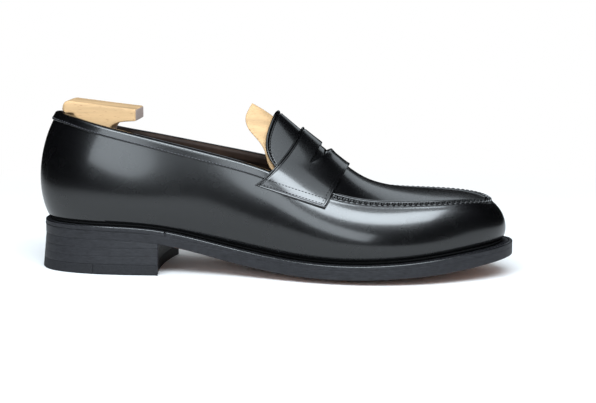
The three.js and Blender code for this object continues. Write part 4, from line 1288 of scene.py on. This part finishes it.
def apron_seam_mesh(pitch):
    """The narrow strip along the apron that its hand stitches gather into dark holes and raised bars."""
    s = np.linspace(float(seam_s(SEAM_BACK_X, -1)), float(seam_s(SEAM_BACK_X, 1)), 1300)
    below = np.linspace(0.05, 3.3, 17)
    line, _ = wall_row(s, SEAM_LINE, 0.0)
    along = arc_length(line, 0)
    even = along[-1] / int(along[-1] / pitch)
    rows = [wall_row(s, b, 0.0)[0] for b in below]
    face = np.stack(rows, 1)
    normals = grid_normals(face)
    phase = along[:, None] / even + (below - SEAM_LINE) * 0.14
    opening = np.clip(0.62 - np.cos(2 * math.pi * phase), 0, 1.2) / 1.2
    hole = 1.15 * opening * np.exp(-((below - SEAM_LINE) / 0.85) ** 4)
    bar = 0.3 * (1 - opening) * np.exp(-((below - SEAM_LINE) / 1.0) ** 2)
    face = face + normals * (bar - hole + 0.04)[..., None]
    distance = np.minimum(below, below[::-1]) + 0 * along[:, None]
    return sheet_solid("apron_hand_seam", face, normals, 0.35, distance, 0.25)


COLLAR_ROW = 4.7 # how far the collar's stitches run below the top line
TONGUE_ROW = 2.9 # how far the tongue's stitches run inside its rear edge
WELT_ROW = 2.3 # how far the welt's stitches run inside its edge
WHEEL_ROW = 2.95 # how far the heel's wheel marks run below the welt's top
JUST_OVER = 0.02 # how far a thread's middle lies over its leather


def sew_all(given):
    """Sews every seam: rows along the wall, the collar, the strap, the tongue and the sole."""
    thread = given.thread / MM
    dress(apron_seam_mesh(given.apron_pitch / MM), "calf", "calf", "shoe")
    s = np.linspace(float(seam_s(SEAM_BACK_X, -1)), float(seam_s(SEAM_BACK_X, 1)), 900)
    stitch_row("apron_hand_stitches", [wall_row(s, SEAM_LINE, 0.2)], given.apron_pitch / MM, 1.9, 0.6,
               slant=1.35, finish="calf")

    first, last = float(seam_s(-5.0, 1)) - ROUND, float(seam_s(-5.0, -1))
    s = np.linspace(first, last, 420)
    stitch_row("collar_stitches", [collar_row(s, COLLAR_ROW, JUST_OVER)], given.collar_pitch / MM, 1.4,
               thread * 0.9, finish="pale_thread")

    strap = strap_surface(np.linspace(0, 1, 61), np.linspace(0, 1, 301), -STRAP_CLEAR - STRAP_THICK)
    normals = grid_normals(strap)
    strap = strap, normals * np.sign(normals[..., 2:3] + 1e-9)
    ends = []
    rows = np.linspace(0.05, 0.95, 40)
    for share in (0.02, 0.056):
        ends.append(strap_row(strap, rows, share + 0 * rows, JUST_OVER))
        ends.append(strap_row(strap, rows, 1 - share + 0 * rows, JUST_OVER))
    stitch_row("strap_stitches", ends, given.strap_pitch / MM, 1.5, thread)
    columns = np.linspace(0.02, 0.2, 60)
    front = [strap_row(strap, 0.93 + 0 * c, c, JUST_OVER) for c in (columns, 1 - columns)]
    stitch_row("strap_front_stitches", front, given.strap_pitch / MM, 1.5, thread)

    w = np.linspace(-0.93, 0.93, 160)
    x = tongue_back(w) + TONGUE_ROW
    base = instep_at(x, w * TONGUE_HALF, 0 * x)
    up = unit(instep_at(x, w * TONGUE_HALF, -1 + 0 * x) - base)
    stitch_row("tongue_stitches", [(base - up * 0.25, up)], 2.1, 1.5, thread * 1.5)

    s = np.linspace(float(seam_edge_s(-76, 1)) - ROUND, float(seam_edge_s(-76, -1)), 300)
    spot, out = edge(s, -JUST_OVER), outward(s)
    points = stack(spot[:, 0], spot[:, 1], welt_top(spot[:, 0]) - WHEEL_ROW)
    stitch_row("heel_wheel_marks", [(points, stack(out[:, 0], out[:, 1], 0))], 1.1, 0.75, 0.5,
               slot="edge_leather")
    s = np.linspace(float(seam_edge_s(-62, -1)), float(seam_edge_s(-62, 1)), 460)
    spot = edge(s, WELT_ROW)
    points = stack(spot[:, 0], spot[:, 1], welt_top(spot[:, 0]) + 0.08)
    upward = stack(0 * s, 0 * s, 1 + 0 * s)
    stitch_row("welt_stitches", [(points, upward)], given.welt_pitch / MM, 1.9, thread * 1.25,
               slot="edge_leather")


# ---- the sprung link ----

HIDDEN_FINISHES = {
    "cork_filler": "cork", "shank": "steel", "heel_counter": "board", "toe_puff": "board",
    "apron_lining": "lining",
    "heel_nail_1": "brass", "heel_nail_2": "brass", "heel_nail_3": "brass", "heel_nail_4": "brass",
    "heel_nail_5": "brass", "hinge_bracket": "steel", "hinge_pin": "steel", "bracket_screw_1": "steel",
    "bracket_screw_2": "steel", "heel_screw_1": "steel", "heel_screw_2": "steel", "heel_plate": "steel",
    "link_rod": "steel", "link_tube": "steel", "tube_bush": "brass",
}
SPRING_RADIUS, SPRING_WIRE, SPRING_TURNS = 4.8, 0.6, 6
SPRING_ENDS = (-91.4, -63.0)


def build_link():
    """The spring coiled round the rod, hung on the link's body."""
    turn = np.linspace(0, SPRING_TURNS * 2 * math.pi, 40 * SPRING_TURNS)
    x = SPRING_ENDS[0] + (SPRING_ENDS[1] - SPRING_ENDS[0]) * turn / turn[-1]
    centre = stack(x, SPRING_RADIUS * np.cos(turn), LINK_Z + SPRING_RADIUS * np.sin(turn))
    tangent = unit(np.gradient(centre, axis=0))
    radial = unit(stack(0 * x, np.cos(turn), np.sin(turn)))
    side = unit(np.cross(tangent, radial))
    angle = np.arange(12) / 12 * 2 * math.pi
    ring = [centre + SPRING_WIRE * (radial * math.cos(a) + side * math.sin(a)) for a in angle]
    spring = tube_solid("link_spring_coil", np.stack(ring, 1))
    dress(spring, "steel", "steel", "link", "link_spring")
    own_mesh(spring)


# ---- the stage ----

CAMERA_AZIMUTH = math.radians(6.5)
CAMERA_ELEVATION = math.radians(9.0)
CAMERA_DISTANCE = 1.1
CAMERA_AIM = Vector((0.014, 0.0, 0.043))
CAMERA_LENS = 104.53
COOL = (0.84, 0.93, 1.0)


def softbox(name, place, aim, width, height, power, roll=0.0):
    light = bpy.data.lights.new(name, "AREA")
    light.shape, light.size, light.size_y, light.energy, light.color = "RECTANGLE", width, height, power, COOL
    obj = bpy.data.objects.new(name, light)
    obj.location = place
    facing = (Vector(aim) - Vector(place)).to_track_quat("-Z", "Y")
    obj.rotation_euler = (facing @ Quaternion((0, 0, 1), math.radians(roll))).to_euler()
    bpy.context.scene.collection.objects.link(obj)
    return obj


def set_stage(scene):
    far = 4000
    corners = [[-far, -far, 0], [far, -far, 0], [far, far, 0], [-far, far, 0]]
    floor = make_object("studio_floor", corners, [[0, 1, 2, 3]], smooth=False)
    floor.data.materials.append(paper_floor())
    floor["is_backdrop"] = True

    world = bpy.data.worlds.new("studio_world")
    scene.world = world
    world.use_nodes = True
    tree = world.node_tree
    tree.nodes.clear()
    path = node(tree, "ShaderNodeLightPath")
    seen = node(tree, "ShaderNodeBackground", Color=(1, 1, 1, 1), Strength=1.0)
    lit = node(tree, "ShaderNodeBackground", Color=(0.93, 0.97, 1, 1), Strength=0.55)
    mirrored = node(tree, "ShaderNodeBackground", Color=(1, 1, 1, 1), Strength=0.006)
    not_glossy = node(tree, "ShaderNodeMixShader", Fac=path.outputs["Is Glossy Ray"], i1=lit.outputs[0],
                      i2=mirrored.outputs[0])
    choice = node(tree, "ShaderNodeMixShader", Fac=path.outputs["Is Camera Ray"], i1=not_glossy.outputs[0],
                  i2=seen.outputs[0])
    node(tree, "ShaderNodeOutputWorld", Surface=choice.outputs[0])

    softbox("overhead_softbox", (0.05, -0.32, 1.3), (0.0, 0.0, 0.03), 1.6, 0.62, 4.5)
    softbox("front_softbox", (0.1, -0.85, 1.02), (0.02, 0.0, 0.04), 1.5, 0.52, 24)
    softbox("left_window", (-0.34, -1.55, 0.56), (-0.05, 0.0, 0.05), 1.15, 0.46, 5.5, roll=-18)
    softbox("back_fill", (0.3, 1.6, 0.9), (0.0, 0.0, 0.05), 1.2, 0.6, 1.6)

    scene.view_settings.view_transform = "Standard"
    camera = bpy.data.objects.new("camera", bpy.data.cameras.new("camera"))
    back = Vector((math.sin(CAMERA_AZIMUTH) * math.cos(CAMERA_ELEVATION),
                   -math.cos(CAMERA_AZIMUTH) * math.cos(CAMERA_ELEVATION), math.sin(CAMERA_ELEVATION)))
    camera.location = CAMERA_AIM + back * CAMERA_DISTANCE
    camera.rotation_euler = (-back).to_track_quat("-Z", "Y").to_euler()
    camera.data.lens = CAMERA_LENS
    camera.data.sensor_width = 36
    camera.data.clip_start, camera.data.clip_end = 0.05, 50
    scene.collection.objects.link(camera)
    scene.camera = camera


def paper_floor():
    """Seamless white studio paper: matt, pure white away from the shoe, and fading in the polish."""
    material, tree, shader = new_material("studio_paper", Roughness=0.9, Specular_IOR_Level=0.1)
    coords = object_coords(tree)
    fibres = noise(tree, coords, 60, 2)
    base_colour(tree, shader, fibres, [(0.3, 0.86), (0.7, 0.88)])
    path = node(tree, "ShaderNodeLightPath")
    distance = node(tree, "ShaderNodeVectorMath", {"operation": "LENGTH"}, i0=coords).outputs["Value"]

    def beyond(near, far, ray, least=0.0):
        reach = node(tree, "ShaderNodeMapRange", {"interpolation_type": "SMOOTHSTEP"}, Value=distance,
                     i1=near, i2=far, i3=least)
        return node(tree, "ShaderNodeMath", {"operation": "MULTIPLY"}, i0=reach.outputs["Result"],
                    i1=path.outputs[ray]).outputs["Value"]

    black = node(tree, "ShaderNodeEmission", Color=(0.006, 0.006, 0.006, 1), Strength=1.0)
    white = node(tree, "ShaderNodeEmission", Color=(1, 1, 1, 1), Strength=1.0)
    faded = node(tree, "ShaderNodeMixShader", Fac=beyond(0.25, 0.9, "Is Glossy Ray", 0.5),
                 i1=shader.outputs[0], i2=black.outputs[0])
    choice = node(tree, "ShaderNodeMixShader", Fac=beyond(0.22, 0.5, "Is Camera Ray"), i1=faded.outputs[0],
                  i2=white.outputs[0])
    tree.links.new(choice.outputs[0], tree.nodes["Material Output"].inputs["Surface"])
    return material


# ---- the sizes and colours a user would change ----


class LoaferSizes(bpy.types.PropertyGroup):
    """Sizes of the stitching and of the sanded wood."""

    apron_pitch: FloatProperty(
        name="Apron Stitch Pitch", description="Distance between the apron's hand stitches",
        default=0.0034, unit="LENGTH")
    strap_pitch: FloatProperty(name="Strap Stitch Pitch", description="Distance between the strap's stitches",
                               default=0.0021, unit="LENGTH")
    collar_pitch: FloatProperty(
        name="Collar Stitch Pitch", description="Distance between the collar's stitches",
        default=0.0022, unit="LENGTH")
    welt_pitch: FloatProperty(
        name="Welt Stitch Pitch", description="Distance between the stitches on the welt",
        default=0.0027, unit="LENGTH")
    thread: FloatProperty(name="Thread Diameter", description="Diameter of the sewing thread",
                          default=0.00055, unit="LENGTH")
    wood_voxel: FloatProperty(name="Wood Detail", description="Size of the mesh cells on the wooden blocks",
                              default=0.0009, unit="LENGTH")


class LoaferColours(bpy.types.PropertyGroup):
    """Base colours of the finishes."""

    calf: FloatVectorProperty(
        name="Calf", description="Colour of the polished upper leather", subtype="COLOR",
        default=linear("#030304")[:3], min=0, max=1)
    sole_edge: FloatVectorProperty(name="Sole Edge", description="Colour of the inked sole and heel edges",
                                   subtype="COLOR", default=linear("#1b1b1e")[:3], min=0, max=1)
    tread: FloatVectorProperty(
        name="Tread", description="Colour of the sole leather underfoot", subtype="COLOR",
        default=linear("#85502f")[:3], min=0, max=1)
    lining: FloatVectorProperty(name="Lining", description="Colour of the lining leather", subtype="COLOR",
                                default=linear("#2e211a")[:3], min=0, max=1)
    beech: FloatVectorProperty(name="Beech", description="Colour of the shoe tree's wood", subtype="COLOR",
                               default=linear("#cda97d")[:3], min=0, max=1)
    steel: FloatVectorProperty(name="Steel", description="Colour of the plated link", subtype="COLOR",
                               default=linear("#a8aaad")[:3], min=0, max=1)
    brass: FloatVectorProperty(
        name="Brass", description="Colour of the bush and the heel nails", subtype="COLOR",
        default=linear("#b8924b")[:3], min=0, max=1)


def sizes():
    return bpy.context.scene.loafer_sizes


# ---- one operator for each piece or group of like pieces ----


class LOAFER_OT_stage(bpy.types.Operator):
    """Makes the finishes, the pale floor, the soft lights and the camera"""

    bl_idname = "loafer.stage"
    bl_label = "Stage and Finishes"

    def execute(self, context):
        make_materials(context.scene.loafer_colours)
        set_stage(context.scene)
        return {"FINISHED"}


WELT_END_X = -66
EDGE_STRIP = 8 # width of the welt and the rand
STRIP_JOINT = 0.03 # left between the welt's ends and the rand's
PRESSED = 0.06 # left between one lift and the next


class LOAFER_OT_sole(bpy.types.Operator):
    """Builds the outsole, the welt and the heel's rand"""

    bl_idname = "loafer.sole"
    bl_label = "Sole and Welt"

    def execute(self, context):
        outsole = slab_mesh("leather_outsole", sole_outline(), None, outsole_over, crowned_under,
                            0.1, 0.35, 5)
        dress(outsole, "edge", "edge_leather", "shoe", "outsole")
        second_finish(outsole, "tread", underfoot)
        reach = float(seam_edge_s(WELT_END_X, -1)), float(seam_edge_s(WELT_END_X, 1))
        welt = strip_mesh("welt_strip", reach[0], reach[1], 420, EDGE_STRIP, WELT_THICK)
        dress(welt, "edge", "edge_leather", "shoe", "welt")
        second_finish(welt, "calf", glancing)
        start, end = reach[1] + STRIP_JOINT - ROUND, reach[0] - STRIP_JOINT
        rand = strip_mesh("heel_rand_strip", start, end, 200, EDGE_STRIP, WELT_THICK)
        dress(rand, "heel_edge", "edge_leather", "shoe", "heel_rand")
        second_finish(rand, "calf", glancing)
        return {"FINISHED"}


class LOAFER_OT_heel(bpy.types.Operator):
    """Builds the stacked heel: three lifts and a top piece in rubber and leather"""

    bl_idname = "loafer.heel"
    bl_label = "Heel"

    def execute(self, context):
        piece, second, first = LIFT_LEVELS
        lifts = [
            ("heel_lift_upper", first + PRESSED, outsole_under, "heel_lift_1"),
            ("heel_lift_middle", second + PRESSED, level(first), "heel_lift_2"),
            ("heel_lift_lower", piece + 2 * PRESSED, level(second), "heel_lift_3"),
        ]
        for name, under_z, over, node_name in lifts:
            heel_slab(name, under_z, over, BREAST_X, "heel_edge", node_name)
        heel_slab("top_piece_rubber_half", 0.0, level(piece), RUBBER_END_X, "rubber",
                  "top_piece_rubber", slot="heel_rubber", hollow=0.0)
        front_of = RUBBER_END_X + 0.2
        outline = [sole_part(heel_depth(z), front_of, BREAST_X, BREAST_HOLLOW) for z in (piece, 0.0)]
        leather = slab_mesh("top_piece_leather_half", *outline, level(piece), level(0.0), 0.25, 0.5)
        dress(leather, "rubber", "edge_leather", "shoe", "top_piece_leather")
        return {"FINISHED"}


class LOAFER_OT_inside(bpy.types.Operator):
    """Builds what shows inside the shoe: insole, heel sock and linings"""

    bl_idname = "loafer.inside"
    bl_label = "Insole and Linings"

    def execute(self, context):
        outline = sole_outline(10.7, 360)
        board = slab_mesh("insole_board", outline, None, insole_over, footbed, 0.5, 0.5)
        dress(board, "lining", "leather_board", "shoe", "insole")
        outline = sole_part(14.0, None, -62.0, -6.0)
        sock = slab_mesh("heel_sock_leather", outline, None, lambda x, y=0: insole_over(x) + GAP + SOCK_THICK,
                         lambda x, y=0: insole_over(x) + 0.1, 0.4, 0.2)
        dress(sock, "lining", "lining_leather", "shoe", "heel_sock")
        first, last = float(seam_s(-2, 1)) - ROUND, float(seam_s(-2, -1))
        quarter = wall_layer_mesh("quarter_lining_leather", first, last, 0.12,
                                  lambda s: 0.965 + 0 * s, 3.1, 4.05)
        dress(quarter, "lining", "lining_leather", "shoe", "quarter_lining")
        vamp = wall_layer_mesh("vamp_lining_leather", last + 0.3, first + ROUND - 0.3, 0.12,
                               lambda s: 0.86 + 0 * s, 3.1, 4.05)
        dress(vamp, "lining", "lining_leather", "shoe", "vamp_lining")
        return {"FINISHED"}


class LOAFER_OT_wall(bpy.types.Operator):
    """Builds the one-piece upper wall and its lasted margin"""

    bl_idname = "loafer.wall"
    bl_label = "Upper Wall"

    def execute(self, context):
        upper = dress(upper_wall_mesh(), "calf", "calf", "shoe", "upper_wall")
        # The wall's lowest FEATHER_HIGH mm and its lasted margin get painted shade: near-black and matt, for
        # the shadowed recess over the welt.
        second_finish(upper, "feather_painted_shade", lambda n, at: at[:, 2] < welt_top(at[:, 0]) + FEATHER_HIGH)
        dress(lasting_margin_mesh(), "feather_painted_shade", "calf", "shoe")
        return {"FINISHED"}


class LOAFER_OT_apron(bpy.types.Operator):
    """Builds the raised apron over the toe"""

    bl_idname = "loafer.apron"
    bl_label = "Apron"

    def execute(self, context):
        dress(apron_mesh(), "calf", "calf", "shoe", "apron")
        return {"FINISHED"}


class LOAFER_OT_tongue(bpy.types.Operator):
    """Builds the tongue and its lining"""

    bl_idname = "loafer.tongue"
    bl_label = "Tongue"

    def execute(self, context):
        x, w = tongue_grid()
        tongue, _, _ = instep_sheet("tongue_leather", x, w, LEATHER, 0.0, rear_bead=0.45)
        dress(tongue, "calf", "calf", "shoe", "tongue")
        x, w = tongue_grid(0.5)
        lining, _, _ = instep_sheet("tongue_lining_leather", x, w, 0.9, LEATHER + 0.08)
        dress(lining, "lining", "lining_leather", "shoe", "tongue_lining")
        return {"FINISHED"}


class LOAFER_OT_strap(bpy.types.Operator):
    """Builds the saddle strap with its coin slot"""

    bl_idname = "loafer.strap"
    bl_label = "Saddle Strap"

    def execute(self, context):
        dress(strap_mesh(), "calf", "calf", "shoe", "saddle_strap")
        return {"FINISHED"}


class LOAFER_OT_collar(bpy.types.Operator):
    """Builds the rolled binding of the top line"""

    bl_idname = "loafer.collar"
    bl_label = "Collar Binding"

    def execute(self, context):
        binding = dress(binding_mesh(), "calf", "calf", "shoe", "collar_binding")
        second_finish(binding, "lining", faces_inside)
        return {"FINISHED"}


class LOAFER_OT_stitching(bpy.types.Operator):
    """Sews every row of stitches on the upper and the welt"""

    bl_idname = "loafer.stitching"
    bl_label = "Stitching"

    def execute(self, context):
        sew_all(sizes())
        return {"FINISHED"}


class LOAFER_OT_tree(bpy.types.Operator):
    """Builds the shoe tree's two beech blocks"""

    bl_idname = "loafer.tree"
    bl_label = "Shoe Tree Blocks"

    def execute(self, context):
        voxel = sizes().wood_voxel / MM
        dress(tree_forepart_mesh(voxel), "beech", "beech", "shoe", "tree_forepart")
        dress(tree_heel_block_mesh(voxel * 0.75), "beech", "beech", "heel_block", "tree_heel_block")
        return {"FINISHED"}


class LOAFER_OT_link(bpy.types.Operator):
    """Builds the sprung telescopic link and finishes the hidden pieces"""

    bl_idname = "loafer.link"
    bl_label = "Sprung Link"

    def execute(self, context):
        build_link()
        for name, finish in HIDDEN_FINISHES.items():
            dress_node(name, finish)
        return {"FINISHED"}


OPERATORS = (
    LOAFER_OT_stage, LOAFER_OT_sole, LOAFER_OT_heel, LOAFER_OT_inside, LOAFER_OT_wall, LOAFER_OT_apron,
    LOAFER_OT_tongue, LOAFER_OT_strap, LOAFER_OT_collar, LOAFER_OT_stitching, LOAFER_OT_tree, LOAFER_OT_link,
)


class LOAFER_PT_panel(bpy.types.Panel):
    """Lists the loafer's sizes, colours and pieces"""

    bl_idname = "LOAFER_PT_panel"
    bl_label = "Penny Loafer"
    bl_space_type = "VIEW_3D"
    bl_region_type = "UI"
    bl_category = "Loafer"

    def draw(self, context):
        for group in (context.scene.loafer_sizes, context.scene.loafer_colours):
            for key in group.bl_rna.properties.keys():
                if key not in ("rna_type", "name"):
                    self.layout.prop(group, key)
        for kind in OPERATORS:
            self.layout.operator(kind.bl_idname)


CLASSES = (LoaferSizes, LoaferColours, *OPERATORS, LOAFER_PT_panel)


def register():
    for kind in CLASSES:
        bpy.utils.register_class(kind)
    bpy.types.Scene.loafer_sizes = PointerProperty(type=LoaferSizes)
    bpy.types.Scene.loafer_colours = PointerProperty(type=LoaferColours)


def unregister():
    del bpy.types.Scene.loafer_sizes
    del bpy.types.Scene.loafer_colours
    for kind in reversed(CLASSES):
        bpy.utils.unregister_class(kind)


def plain(box):
    return [[float(v) for v in corner] for corner in box]


def main():
    """Builds every piece in order."""
    register()
    for kind in OPERATORS:
        group, name = kind.bl_idname.split(".")
        getattr(getattr(bpy.ops, group), name)()
    {"cad": plain(CAD_BOX), "visual": plain(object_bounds())}


if __name__ == "__main__":
    main()
